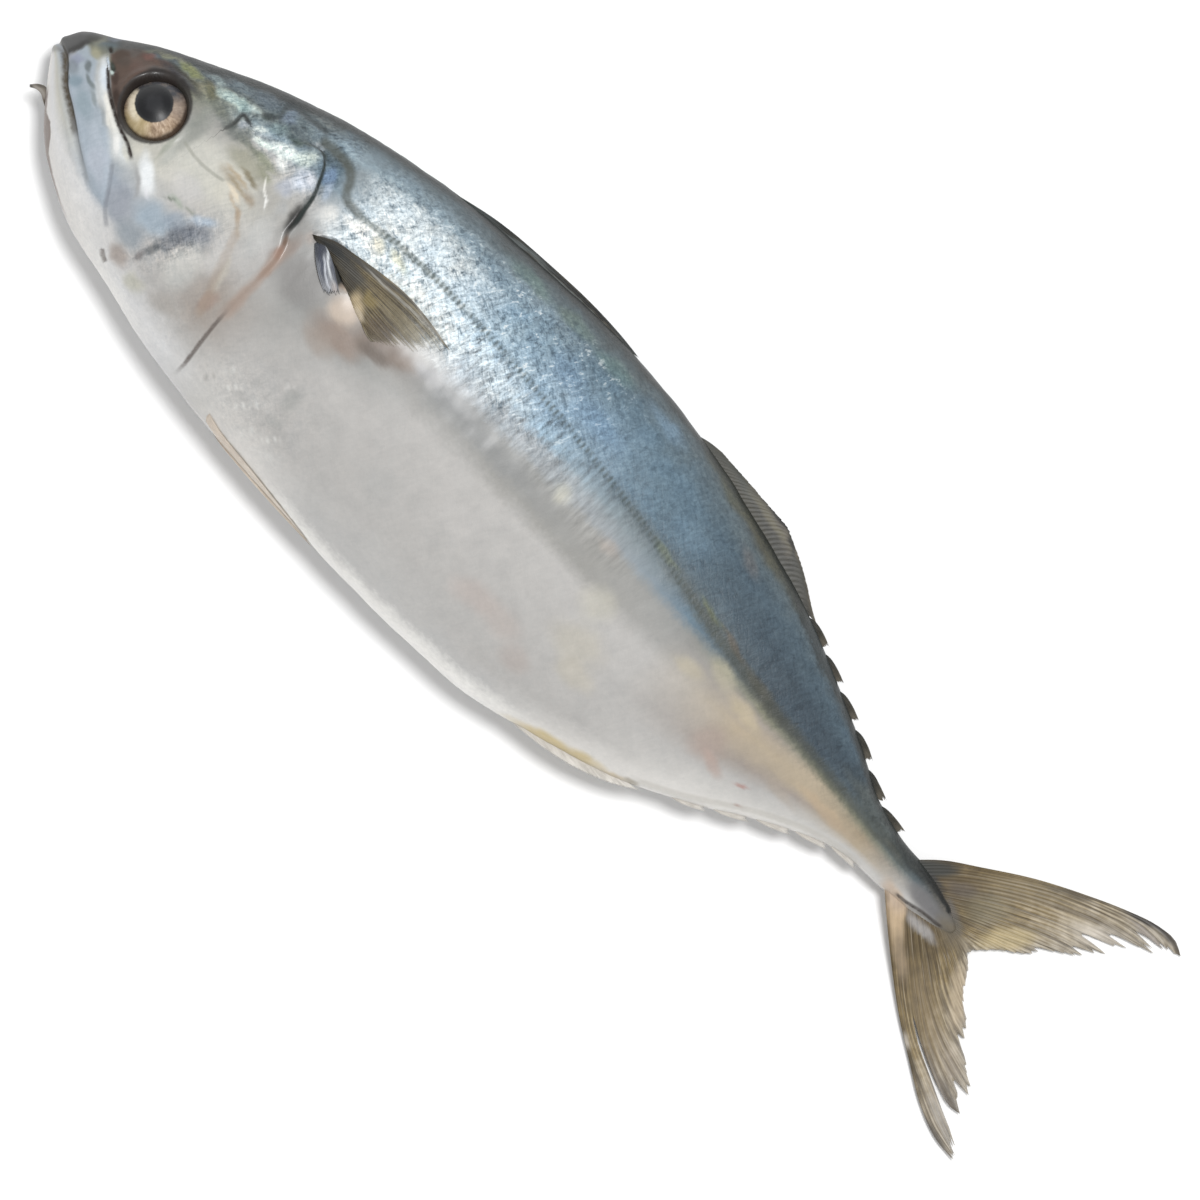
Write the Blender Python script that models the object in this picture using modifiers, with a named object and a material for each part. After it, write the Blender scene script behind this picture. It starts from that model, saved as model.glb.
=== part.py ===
"""A whole mackerel lying on its right flank, in Blender 4.5.

Metres, +X from the snout to the tail, +Y towards the back fin, +Z up. The origin lies on the
surface under the fish, at the middle of its outline. Shapes are written in millimetres along the
fish: x from the tip of the snout, y from the line between the snout and the fork of the tail.
"""

import math

import bmesh
import bpy
import numpy as np
from mathutils import Vector

# Driving dimensions, in millimetres
FORK_LENGTH = 200.0  # tip of the snout to the fork of the tail
DRAWN_LENGTH = 200.0  # the fork length that the outlines below are drawn for
MIDDLE = (111.97, 0.6)  # the middle of the outline, which becomes the origin
FIN_THICKNESS = 0.9
TAIL_FIN_THICKNESS = 1.0
GAP = 0.3  # between two pieces that touch
MM = 0.001 * FORK_LENGTH / DRAWN_LENGTH

# The body: its two edges, its half thickness, and the room under it. The room is negative where
# the weight of the fish presses the flank flat.
BACK_EDGE = [
    (-0.7, 1.0), (1.5, 4.2), (5, 6.6), (10, 9.9), (20, 15), (30, 19.4), (40, 22.8), (50, 25.2),
    (62, 27.2), (75, 28.1), (88, 28.5), (100, 28.3), (112, 27.2), (125, 24.8), (145, 19.3),
    (155, 15.1), (165, 10.8), (175, 5.7), (181, 4.1), (190, 2.9), (196, 1.1),
]
BELLY_EDGE = [
    (-0.7, -1.6), (1.5, -4.6), (5, -9), (8, -12.1), (13, -15.5), (20, -18.9), (30, -21.3),
    (45, -24.6), (60, -26.1), (75, -26.9), (88, -27.9), (105, -28), (117, -27.2), (130, -23.8),
    (145, -18.9), (155, -13.7), (165, -7.9), (175, -3.6), (184, -2.8), (190, -2.2), (196, -0.9),
]
HALF_THICKNESS = [
    (-0.7, 1.5), (1.5, 4.0), (5, 6.3), (10, 8.6), (20, 11.6), (30, 13.4), (45, 15.0), (65, 15.6),
    (85, 15.4), (105, 14.0), (125, 11.6), (145, 8.6), (160, 6.0), (172, 4.2), (182, 3.2),
    (190, 2.3), (196, 1.2), (205, 0.7), (225, 0.6),
]
ROOM_UNDER = [
    (-0.7, 8.6), (5, 5.0), (12, 2.8), (25, 0.9), (45, -0.6), (80, -0.8), (100, -0.4), (112, 0.5),
    (125, 1.7), (145, 3.6), (160, 4.8), (172, 4.6), (180, 3.7), (186, 2.5), (192, 1.4), (200, 0.9),
    (212, 0.7), (225, 0.6),
]
STATIONS = [
    -0.7, 0.3, 2, 4.5, 8, 12, 17, 23, 30, 38, 47, 57, 68, 80, 92, 104, 116, 127, 137, 147, 156,
    164, 172, 179, 185, 190, 193.5, 196,
]
SEGMENTS = 16
# One level of subdivision draws a ring of this many corners in by this much.
FULLNESS = 1 / math.cos(math.pi / SEGMENTS)

# The head
EYE_CENTRE = (17.2, 3.4)
EYE_RADIUS = 5.3
EYE_HALF_DEPTH = 3.6
EYE_PROUD = 0.9
MOUTH_LINE = [(-4, 2.2), (-0.5, 0), (2.6, -2.5), (5, -4.5), (10, -8.2), (15, -11.3), (17.5, -12.4)]
MOUTH_GAP = 0.35
GILL_EDGE = [(39.5, 16.8), (43.2, 14.4), (45.6, 7.5), (46.4, 2), (47.3, -5), (48, -12.5), (48.8, -20)]
GILL_GROOVE_RADIUS = 0.45

# The fins that stand on the fish's middle plane. Their roots run into the body and are cut back.
SECOND_DORSAL_FIN = [
    (111, 25.5), (112.5, 27.9), (120, 27.5), (130, 26.8), (134, 26.3), (138.5, 24.2), (143, 21.9),
    (145.6, 20.1), (143, 17.5), (128, 21.5),
]
ANAL_FIN = [
    (122, -24.5), (123, -27.3), (125, -27), (130, -25.6), (135, -23.9), (140, -22), (143, -20.7),
    (146.4, -19), (144, -16.5), (132, -20.5),
]
TAIL_FIN = [
    (184.5, 3), (185, 5), (190, 8.6), (195, 11.9), (200, 15), (205, 17.6), (210, 20.1), (215, 22.2),
    (220, 23.4), (222.6, 23.5), (224.6, 22.3), (221.5, 20.2), (216.5, 14.4), (212, 10.5),
    (207.3, 5.6), (202.5, 2.2), (200.6, -0.3), (202.3, -2.4), (205.5, -6.5), (208.7, -9.3),
    (211.8, -12.9), (214.6, -15.6), (217.6, -18.6), (218.2, -20.1), (216, -20.6), (221, -23.8),
    (221.8, -25.2), (220, -25.4), (215, -24.4), (210, -21.9), (205, -18.8), (200, -15.6),
    (195, -12.1), (190, -8.4), (185, -4.4), (184.5, -2),
]
FINLET_LENGTH = 5.2
FINLET_HEIGHT = 2.0
FINLET_ROOT = 1.6  # how far a finlet's root runs into the body
DORSAL_FINLETS = [145.4, 150.8, 156.6, 162.6, 168.5, 173.8]
ANAL_FINLETS = [149.2, 155.2, 161.2, 166.8, 172.2]

# The fins that lie folded against the skin
PECTORAL_FIN = [
    # x, lower edge, upper edge
    (50, 5.4, 7.6), (53, 4.3, 8.4), (57, 2.6, 9.1), (61, 1.6, 9.7), (65, 1.7, 10), (69, 2.9, 9.9),
    (72.5, 4.8, 9.4), (75.2, 7.2, 8.3),
]
PECTORAL_THICKNESS = 0.6
# start, end, and the middle and half of its width in degrees round the body from the back edge
FIRST_DORSAL_FIN = (60, 97, 0, 11)
PELVIC_FIN_LEFT = (57.5, 82, 172.5, 5.5)
PELVIC_FIN_RIGHT = (57.5, 82, 187.5, 5.5)
FOLDED_THICKNESS = 0.7
FOLDED_ROWS = 12
FOLDED_COLUMNS = 4

# name: colour, roughness, metallic
FINISHES = {
    "skin": ((0.46, 0.52, 0.54), 0.32, 0.35),
    "eye": ((0.20, 0.15, 0.08), 0.12, 0.0),
    "dark_fin": ((0.13, 0.14, 0.12), 0.5, 0.0),
    "pale_fin": ((0.68, 0.62, 0.50), 0.5, 0.0),
    "pectoral_fin": ((0.40, 0.36, 0.20), 0.45, 0.0),
}


def smooth(points):
    """A smooth function of x through the given (x, value) points."""
    xs, values = np.array(points, float).T
    slopes = np.gradient(values, xs)

    def at(x):
        x = min(max(x, xs[0]), xs[-1])
        i = int(min(max(np.searchsorted(xs, x) - 1, 0), len(xs) - 2))
        span = xs[i + 1] - xs[i]
        t = (x - xs[i]) / span
        rise = values[i] + (values[i + 1] - values[i]) * t * t * (3 - 2 * t)
        lean = slopes[i] * t * (1 - t) ** 2 - slopes[i + 1] * t * t * (1 - t)
        return float(rise + span * lean)

    return at


back_edge = smooth(BACK_EDGE)
belly_edge = smooth(BELLY_EDGE)
half_thickness = smooth(HALF_THICKNESS)
room_under = smooth(ROOM_UNDER)


def middle_height(x):
    """Height of the fish's middle plane above the surface under it."""
    return half_thickness(x) + room_under(x)


def placed(x, y, z):
    """A point of the drawing as a place in the scene, in metres."""
    return Vector(((x - MIDDLE[0]) * MM, (y - MIDDLE[1]) * MM, z * MM))


def round_body(x, turn, lift=0.0, full=1.0):
    """The point of the skin at station x, turned this far round from the back edge, and lifted."""
    centre = (back_edge(x) + belly_edge(x)) / 2
    depth = (back_edge(x) - belly_edge(x)) / 2 * full + lift
    width = half_thickness(x) * full + lift
    return placed(x, centre + depth * math.cos(turn), middle_height(x) + width * math.sin(turn))


def on_flank(x, y, lift=0.0, side=1):
    """The point of the flank at (x, y), lifted. side is 1 on the left flank and -1 on the right."""
    centre = (back_edge(x) + belly_edge(x)) / 2
    depth = (back_edge(x) - belly_edge(x)) / 2
    bulge = math.sqrt(max(0.0, 1 - ((y - centre) / depth) ** 2))
    return placed(x, y, middle_height(x) + side * (half_thickness(x) * bulge + lift))


def flank_normal(x, y, side):
    step = 0.5
    along = on_flank(x + step, y, 0, side) - on_flank(x - step, y, 0, side)
    across = on_flank(x, y + step, 0, side) - on_flank(x, y - step, 0, side)
    return (along.cross(across) * side).normalized()


def clear_scene():
    for old in list(bpy.data.objects):
        bpy.data.objects.remove(old)


def new_collection(name):
    collection = bpy.data.collections.new(name)
    bpy.context.scene.collection.children.link(collection)
    return collection


def finish_of(name):
    colour, roughness, metallic = FINISHES[name]
    material = bpy.data.materials.new(name)
    material.use_nodes = True
    shader = material.node_tree.nodes["Principled BSDF"]
    shader.inputs["Base Color"].default_value = (*colour, 1)
    shader.inputs["Roughness"].default_value = roughness
    shader.inputs["Metallic"].default_value = metallic
    return material


def add_part(name, mesh, finish):
    part = bpy.data.objects.new(name, mesh)
    fish.objects.link(part)
    mesh.materials.clear()
    mesh.materials.append(finishes[finish])
    mesh.shade_smooth()
    mesh.set_sharp_from_angle(angle=math.radians(40))
    return part


def add_cutter(name, mesh):
    cutter = bpy.data.objects.new(name, mesh)
    cutters.objects.link(cutter)
    cutter.hide_render = True
    cutter.display_type = "WIRE"
    return cutter


def cut(part, cutter):
    boolean = part.modifiers.new(cutter.name, "BOOLEAN")
    boolean.operation = "DIFFERENCE"
    boolean.solver = "EXACT"
    boolean.object = cutter


def subdivide(part):
    smoothing = part.modifiers.new("round", "SUBSURF")
    smoothing.levels = 1
    smoothing.render_levels = 1


def turn_outwards(bm):
    bmesh.ops.recalc_face_normals(bm, faces=bm.faces)
    if bm.calc_volume(signed=True) < 0:
        bmesh.ops.reverse_faces(bm, faces=bm.faces)


def mesh_of(name, bm):
    turn_outwards(bm)
    mesh = bpy.data.meshes.new(name)
    bm.to_mesh(mesh)
    bm.free()
    return mesh


def body_cage(name, lift):
    """The rings of the body from the snout to the root of the tail fin, joined and closed."""
    bm = bmesh.new()
    turns = [2 * math.pi * i / SEGMENTS for i in range(SEGMENTS)]
    rings = [
        [bm.verts.new(round_body(x, turn, lift, FULLNESS)) for turn in turns] for x in STATIONS
    ]
    for front, behind in zip(rings, rings[1:]):
        for i in range(SEGMENTS):
            after = (i + 1) % SEGMENTS
            bm.faces.new((front[i], front[after], behind[after], behind[i]))
    bm.faces.new(rings[0])
    bm.faces.new(rings[-1])
    return mesh_of(name, bm)


def flat_plate(name, outline, thickness):
    """A closed flat outline with a thickness, as a mesh about z = 0."""
    curve = bpy.data.curves.new(name, "CURVE")
    curve.dimensions = "2D"
    curve.fill_mode = "BOTH"
    curve.extrude = thickness * MM / 2
    line = curve.splines.new("POLY")
    line.use_cyclic_u = True
    line.points.add(len(outline) - 1)
    for point, (x, y) in zip(line.points, outline):
        point.co = (*placed(x, y, 0), 1)
    guide = bpy.data.objects.new(name, curve)
    cutters.objects.link(guide)
    bpy.context.view_layer.update()
    evaluated = guide.evaluated_get(bpy.context.evaluated_depsgraph_get())
    mesh = bpy.data.meshes.new_from_object(evaluated)
    bpy.data.objects.remove(guide)
    bm = bmesh.new()
    bm.from_mesh(mesh)
    bmesh.ops.remove_doubles(bm, verts=bm.verts, dist=1e-6)
    return mesh_of(name, bm)


def lay_on_middle_plane(mesh):
    for vertex in mesh.vertices:
        vertex.co.z += middle_height(vertex.co.x / MM + MIDDLE[0]) * MM


def standing_fin(name, outline, thickness, finish):
    """A thin fin on the middle plane, cut back to just clear of the body."""
    mesh = flat_plate(name, outline, thickness)
    lay_on_middle_plane(mesh)
    cut(add_part(name, mesh, finish), near_body)


def finlet(name, start, edge, side, finish):
    """A small swept-back fin on the back (side 1) or the belly (side -1)."""
    rear = start + FINLET_LENGTH
    shoulder = start + 0.35 * FINLET_LENGTH
    foot = start + 0.7 * FINLET_LENGTH
    outline = [
        (start, edge(start) - side * FINLET_ROOT),
        (start, edge(start) + side * 0.4),
        (shoulder, edge(shoulder) + side * 0.75 * FINLET_HEIGHT),
        (rear - 0.6, edge(rear - 0.6) + side * FINLET_HEIGHT),
        (rear, edge(rear) + side * 0.75 * FINLET_HEIGHT),
        (foot, edge(foot) - side * FINLET_ROOT),
    ]
    standing_fin(name, outline, FIN_THICKNESS, finish)


def sheet(name, rows):
    """An open surface through rows of points."""
    bm = bmesh.new()
    grid = [[bm.verts.new(point) for point in row] for row in rows]
    for near, far in zip(grid, grid[1:]):
        for i in range(len(near) - 1):
            bm.faces.new((near[i], far[i], far[i + 1], near[i + 1]))
    mesh = bpy.data.meshes.new(name)
    bm.to_mesh(mesh)
    bm.free()
    return mesh


def thicken(part, thickness):
    shell = part.modifiers.new("thickness", "SOLIDIFY")
    shell.thickness = thickness * MM
    shell.offset = 1


def folded_fin(name, place, finish):
    """A narrow fin folded against the body's edge, tapering to both ends."""
    start, end, middle, half = place
    rows = []
    for i in range(FOLDED_ROWS + 1):
        share = i / FOLDED_ROWS
        x = start + (end - start) * share
        spread = half * (0.25 + 0.75 * math.sin(math.pi * share ** 0.7) ** 0.6)
        turns = [middle + spread * (1 - 2 * j / FOLDED_COLUMNS) for j in range(FOLDED_COLUMNS + 1)]
        rows.append([round_body(x, math.radians(turn), GAP + 0.1) for turn in turns])
    thicken(add_part(name, sheet(name, rows), finish), FOLDED_THICKNESS)


def pectoral_left():
    rows = []
    for x, low, high in PECTORAL_FIN:
        heights = [low + (high - low) * j / FOLDED_COLUMNS for j in range(FOLDED_COLUMNS + 1)]
        rows.append([on_flank(x, y, GAP + 0.1) for y in heights])
    mesh = sheet("pectoral_fin_left", rows)
    thicken(add_part("pectoral_fin_left", mesh, "pectoral_fin"), PECTORAL_THICKNESS)


def grown(outline, by):
    """The outline with each point moved away from its middle."""
    middle = np.mean(outline, axis=0)
    return [tuple(p + by * (p - middle) / np.linalg.norm(p - middle)) for p in np.array(outline)]


def pectoral_right():
    """The fin that the fish lies on: flat, in a shallow hollow that it presses into the flank."""
    outline = [(x, low) for x, low, high in PECTORAL_FIN]
    outline += [(x, high) for x, low, high in reversed(PECTORAL_FIN)]
    mesh = flat_plate("pectoral_fin_right", outline, PECTORAL_THICKNESS)
    above_surface = 0.1 + PECTORAL_THICKNESS / 2
    for vertex in mesh.vertices:
        vertex.co.z += above_surface * MM
    add_part("pectoral_fin_right", mesh, "pectoral_fin")
    depth = 2 * (0.1 + PECTORAL_THICKNESS + GAP)
    cut(body, add_cutter("hollow", flat_plate("hollow", grown(outline, 1.3 * GAP), depth)))


def eye(name, side):
    """A flattened ball that looks out along the flank's normal, and the socket that it sits in."""
    normal = flank_normal(*EYE_CENTRE, side)
    sink = (EYE_HALF_DEPTH - EYE_PROUD) * MM
    centre = on_flank(*EYE_CENTRE, 0, side) - normal * sink
    turn = normal.to_track_quat("Z", "Y")
    for growth in (0, GAP):
        bm = bmesh.new()
        bmesh.ops.create_uvsphere(bm, u_segments=24, v_segments=12, radius=1)
        radius = (EYE_RADIUS + growth) * MM
        half_depth = (EYE_HALF_DEPTH + growth) * MM
        for vertex in bm.verts:
            ball = Vector((vertex.co.x * radius, vertex.co.y * radius, vertex.co.z * half_depth))
            vertex.co = centre + turn @ ball
        if growth:
            cut(body, add_cutter(name + "_socket", mesh_of(name + "_socket", bm)))
        else:
            add_part(name, mesh_of(name, bm), "eye")


def mouth():
    """The gape: a thin slot through the snout from its tip to the corners of the jaw."""
    high = 2 * middle_height(20)
    mesh = sheet("gape", [[placed(x, y, 0), placed(x, y, high)] for x, y in MOUTH_LINE])
    gape = add_cutter("gape", mesh)
    thicken(gape, MOUTH_GAP)
    gape.modifiers["thickness"].offset = 0
    cut(body, gape)


def gill_groove(side):
    """The groove behind a gill cover, as a bent rod taken out of the skin."""
    name = "gill_groove_left" if side > 0 else "gill_groove_right"
    curve = bpy.data.curves.new(name, "CURVE")
    curve.dimensions = "3D"
    curve.bevel_depth = GILL_GROOVE_RADIUS * MM
    curve.bevel_resolution = 1
    curve.use_fill_caps = True
    line = curve.splines.new("POLY")
    line.points.add(len(GILL_EDGE) - 1)
    for point, (x, y) in zip(line.points, GILL_EDGE):
        point.co = (*on_flank(x, y, 0, side), 1)
    rod = bpy.data.objects.new(name, curve)
    cutters.objects.link(rod)
    bpy.context.view_layer.update()
    evaluated = rod.evaluated_get(bpy.context.evaluated_depsgraph_get())
    bm = bmesh.new()
    bm.from_mesh(bpy.data.meshes.new_from_object(evaluated))
    bpy.data.objects.remove(rod)
    bmesh.ops.remove_doubles(bm, verts=bm.verts, dist=1e-6)
    cut(body, add_cutter(name, mesh_of(name, bm)))


def flatten_underside():
    """The flat patch that the fish rests on: all that would lie below the surface is taken off."""
    bm = bmesh.new()
    bmesh.ops.create_cube(bm, size=1)
    bmesh.ops.scale(bm, vec=Vector((0.3, 0.1, 0.02)), verts=bm.verts)
    bmesh.ops.translate(bm, vec=Vector((0, 0, -0.01)), verts=bm.verts)
    cut(body, add_cutter("under_surface", mesh_of("under_surface", bm)))


clear_scene()
fish = new_collection("mackerel")
cutters = new_collection("cutters")
finishes = {name: finish_of(name) for name in FINISHES}

body = add_part("body", body_cage("body", 0), "skin")
subdivide(body)
near_body = add_cutter("near_body", body_cage("near_body", GAP))
subdivide(near_body)

flatten_underside()
for eye_name, eye_side in (("eye_left", 1), ("eye_right", -1)):
    eye(eye_name, eye_side)
mouth()
gill_groove(1)
gill_groove(-1)

folded_fin("first_dorsal_fin", FIRST_DORSAL_FIN, "dark_fin")
folded_fin("pelvic_fin_left", PELVIC_FIN_LEFT, "pale_fin")
folded_fin("pelvic_fin_right", PELVIC_FIN_RIGHT, "pale_fin")
pectoral_left()
pectoral_right()

standing_fin("second_dorsal_fin", SECOND_DORSAL_FIN, FIN_THICKNESS, "dark_fin")
for number, start in enumerate(DORSAL_FINLETS, 1):
    finlet(f"dorsal_finlet_{number}", start, back_edge, 1, "dark_fin")
standing_fin("anal_fin", ANAL_FIN, FIN_THICKNESS, "pale_fin")
for number, start in enumerate(ANAL_FINLETS, 1):
    finlet(f"anal_finlet_{number}", start, belly_edge, -1, "pale_fin")
standing_fin("caudal_fin", TAIL_FIN, TAIL_FIN_THICKNESS, "dark_fin")
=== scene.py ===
"""The looks of a whole mackerel that lies on its right flank on a white table.

Shapes are drawn in millimetres along the fish, as a fishmonger would lay it out: x runs from the
tip of the snout to the tail, y from the belly side to the back, and heights are above the table.
"""

import itertools
import math

import bpy
import numpy as np
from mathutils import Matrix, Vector


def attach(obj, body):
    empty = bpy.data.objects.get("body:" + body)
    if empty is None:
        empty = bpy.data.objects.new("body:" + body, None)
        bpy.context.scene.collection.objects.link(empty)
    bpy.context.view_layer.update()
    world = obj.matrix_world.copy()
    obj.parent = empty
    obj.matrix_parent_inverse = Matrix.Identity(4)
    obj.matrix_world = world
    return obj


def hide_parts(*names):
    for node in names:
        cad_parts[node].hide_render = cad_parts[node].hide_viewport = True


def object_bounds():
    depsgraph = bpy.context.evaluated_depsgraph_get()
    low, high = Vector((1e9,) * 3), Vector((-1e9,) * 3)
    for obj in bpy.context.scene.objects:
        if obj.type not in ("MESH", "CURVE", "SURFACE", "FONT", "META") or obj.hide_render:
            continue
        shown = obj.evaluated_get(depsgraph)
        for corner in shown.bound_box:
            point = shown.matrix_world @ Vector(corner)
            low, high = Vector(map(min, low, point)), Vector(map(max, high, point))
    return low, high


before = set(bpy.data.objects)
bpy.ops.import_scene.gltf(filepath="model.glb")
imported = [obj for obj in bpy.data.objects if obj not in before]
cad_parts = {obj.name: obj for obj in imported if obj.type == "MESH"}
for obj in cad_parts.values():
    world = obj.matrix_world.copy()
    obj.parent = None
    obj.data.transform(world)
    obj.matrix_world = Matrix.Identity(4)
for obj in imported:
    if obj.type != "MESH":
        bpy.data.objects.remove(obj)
cad_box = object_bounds()

# ---------------------------------------------------------------------------------------------
# Where the drawing lies in the frame
# ---------------------------------------------------------------------------------------------
LOW, HIGH = (Vector(corner) for corner in cad_box)
DRAWN_LENGTH = 225.27  # tip of the lower jaw to the tip of the upper tail lobe
DRAWN_MIDDLE = (111.97, 0.6)
MM = (HIGH.x - LOW.x) / DRAWN_LENGTH
MIDDLE = (LOW + HIGH) / 2

# ---------------------------------------------------------------------------------------------
# The outline of the body
# ---------------------------------------------------------------------------------------------
BACK_EDGE = [
    (-0.7, 1.3), (0.4, 3.3), (1.6, 4.5), (5, 6.6), (10, 9.9), (20, 15), (30, 19.4), (40, 22.8),
    (50, 25.2), (62, 27.2), (75, 28.3), (88, 28.8), (100, 28.6), (112, 27.3), (125, 24.8), (145, 19.3),
    (155, 15.1), (165, 10.8), (175, 5.9), (181, 4.5), (186, 4.2), (190, 3.5), (194, 2.2), (196, 1.1),
]
BELLY_EDGE = [
    (-0.7, -1.6), (1.5, -4.6), (5, -9), (8, -12.1), (13, -15.5), (20, -18.9), (30, -21.3), (45, -24.6),
    (60, -26.4), (75, -27.4), (88, -28.1), (105, -28), (117, -27.2), (130, -23.8), (145, -18.9),
    (155, -13.7), (165, -7.9), (175, -3.7), (184, -3.1), (190, -2.6), (194, -1.7), (196, -0.9),
]
HALF_THICKNESS = [
    (-0.7, 1.5), (1.5, 4.0), (5, 6.3), (10, 8.6), (20, 11.6), (30, 13.4), (45, 15.0), (65, 15.6),
    (85, 15.4), (105, 14.0), (125, 11.6), (145, 8.6), (160, 6.0), (172, 4.2), (182, 3.2),
    (190, 2.3), (196, 1.2), (205, 0.7), (225, 0.6),
]
ROOM_UNDER = [
    (-0.7, 8.6), (5, 5.0), (12, 2.8), (25, 0.9), (45, -0.6), (80, -0.8), (100, -0.4), (112, 0.5),
    (125, 1.7), (145, 3.6), (160, 4.8), (172, 4.6), (180, 3.7), (186, 2.5), (192, 1.4), (200, 0.9),
    (212, 0.7), (225, 0.6),
]
HEAD_STEP = 0.3  # spacing of the body's rings up to HEAD_END, then up to TRUNK_END
HEAD_END = 52
TRUNK_STEP = 0.72
TRUNK_END = 190
BODY_END = 196
RING_CORNERS = 240
FLANK_CROWDING = 0.15  # draws the corners of a ring towards the flanks

# ---------------------------------------------------------------------------------------------
# Lines and plates of the head and the flank
# ---------------------------------------------------------------------------------------------
EYE = (17.2, 3.4)
EYE_RADIUS = 5.3
EYE_HALF_DEPTH = 3.6
EYE_PROUD = 0.9
PUPIL = (-0.4, 0.3)  # from the middle of the eye
RIM_SHORTENING = 0.94  # of distances above and below the eye, so that its rim is tall
IRIS_SHORTENING = 0.92
SOCKET_DEPTH = 3.2
NOSTRILS = [(6, 4.9, 0.45), (8.2, 3.1, 0.5)]  # x, y and half width of each
NOSTRIL_DEPTH = 0.5
MOUTH_DEPTH = 0.5
GILL_COVER_STEP = 0.55  # from the edge of the gill cover down to the skin behind it, each way
KEEL_HEIGHT = 0.3
SCALE_STEP = 0.95  # from one scale of the lateral line to the next
SCALE_DEPTH = 0.09
PECTORAL_ROOM = 0.95  # kept free under the right flank for its pectoral fin

LINES = {
    "mouth": [
        (-2, 0.6), (-0.4, -0.2), (1.5, -0.9), (3, -2.2), (4.6, -3.8), (8, -6), (13, -9.5), (19, -12.9),
    ],
    "under_eye": [(8, 2.2), (10, 0.4), (12, -0.9), (14, -2), (16, -2.9), (18, -3.6), (20.8, -5.2)],
    "jaw_plate": [(18.6, -7.2), (20, -9.1), (21.4, -11.1), (23, -13.4), (25.4, -15.4)],
    "cheek_notch": [(27.5, 8.9), (27.8, 10.4), (27.8, 12.4), (29.5, 12)],
    "cheek_seam": [(24, 2.9), (27, 2.3), (31, 2.4), (33.5, 2.9)],
    "brow": [
        (29.6, 14.2), (31, 15.1), (32.2, 16.2), (31.8, 17.8), (32.6, 18.7), (36, 19.2), (40, 19.6),
    ],
    "gill": [
        (36.4, 15.6), (38.4, 16.2), (40.8, 16.7), (42.3, 15.8), (43.3, 14.2), (44.1, 12.5),
        (44.8, 10.8), (45.2, 8.6), (45.7, 6), (45.9, 4), (46.9, 2), (47.5, 0), (47.7, -3), (47.7, -8),
        (47.8, -13), (48.3, -18), (48.8, -22), (48.8, -24.6),
    ],
    "inner_gill": [(40, -0.8), (41.4, -5), (42.6, -8.4), (44, -11.6), (45.2, -15.5)],
    "shoulder": [
        (38.6, 18.2), (42, 18.5), (45.6, 18), (47.2, 16.6), (47.8, 15.2), (48.8, 14.3), (51, 14),
        (53, 14),
    ],
    "jaw_corner": [(26.9, -18.2), (27.8, -18.9), (28.8, -19.3)],
    "lateral": [
        (48, 14.3), (52, 13.9), (58, 14.7), (66, 15.2), (76, 15), (88, 14.2), (100, 13.2), (110, 12),
        (120, 10.4), (130, 8.2), (140, 6.3), (150, 4.9), (160, 3.9), (170, 3), (184, 2),
    ],
    "upper_keel": [(185.4, 3.4), (188, 3), (191, 2.4), (194.6, 1.6)],
    "lower_keel": [(185.6, -2.2), (188, -1.8), (191, -1.2), (195, -0.8)],
    "belly_fold": [(64.6, -12.6), (63.4, -15), (63.6, -18)],
    "belly_crease": [(66, -16.5), (66.4, -20), (67.4, -22.8), (69.6, -25)],
    "belly_hem": [
        (143, -18.9), (148, -16.6), (154, -13.2), (160, -9.4), (166, -6.2), (172, -3.9), (180, -2.6),
    ],
}
# Creases pressed into the skin along the lines: name, depth, half width.
CREASES = [
    ("under_eye", 0.35, 0.4), ("jaw_plate", 0.12, 0.6), ("cheek_notch", 0.25, 0.5),
    ("cheek_seam", 0.07, 0.6), ("brow", 0.15, 0.6), ("shoulder", 0.25, 0.9), ("jaw_corner", 0.3, 0.5),
    ("belly_fold", 0.25, 1.2), ("belly_crease", 0.25, 1.1), ("inner_gill", 0.12, 1.1),
    ("belly_hem", 0.1, 0.9),
]
PLATES = {
    "snout_cap": [
        (-1.4, 0.5), (-0.9, 3.2), (0.5, 4.8), (2.3, 5.8), (3.7, 5.2), (3.2, 3.6), (2.4, 1.9),
        (2.1, 0.3), (2.5, -1), (1.2, -0.9), (0.2, -0.3),
    ],
    "eyelid": [
        (6.3, 4.4), (7, 6.2), (8.8, 8), (11, 9), (14, 10), (17.3, 10.2), (17, 8), (13, 6), (12.6, 2),
        (15, -2.7), (12.5, -1.2), (10.6, 0.1), (8.6, 2.2),
    ],
    "bright_strip": [
        (6.2, 3.8), (8, 2), (10, 0.1), (12, -1.1), (14, -2.2), (16, -3.2), (18.4, -4.3), (20.8, -5.9),
        (17.8, -6.8), (16, -5), (14, -3.5), (12, -2.5), (10, -2), (8.4, -0.7), (6.8, 1.2), (5.8, 2.7),
    ],
    "upper_jaw": [
        (2.7, 3), (4.4, 2), (5.8, 2.2), (7, 0.8), (8.4, -0.9), (10, -2.2), (12.5, -2.9), (15, -4.4),
        (17.6, -6.8), (19.6, -8.6), (21.4, -11.2), (22.6, -13.2), (19, -12.7), (15, -10.7), (10, -7.4),
        (5, -4.2), (2.9, -1.9), (2.2, 1),
    ],
    "fin_hollow": [
        (49.4, 6.6), (51.6, 8.2), (55, 9), (59, 9), (62, 7.6), (60.6, 5.6), (58.4, 4.4), (57, 3.2),
        (54.4, 5.2), (51.4, 6.4),
    ],
}


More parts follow.
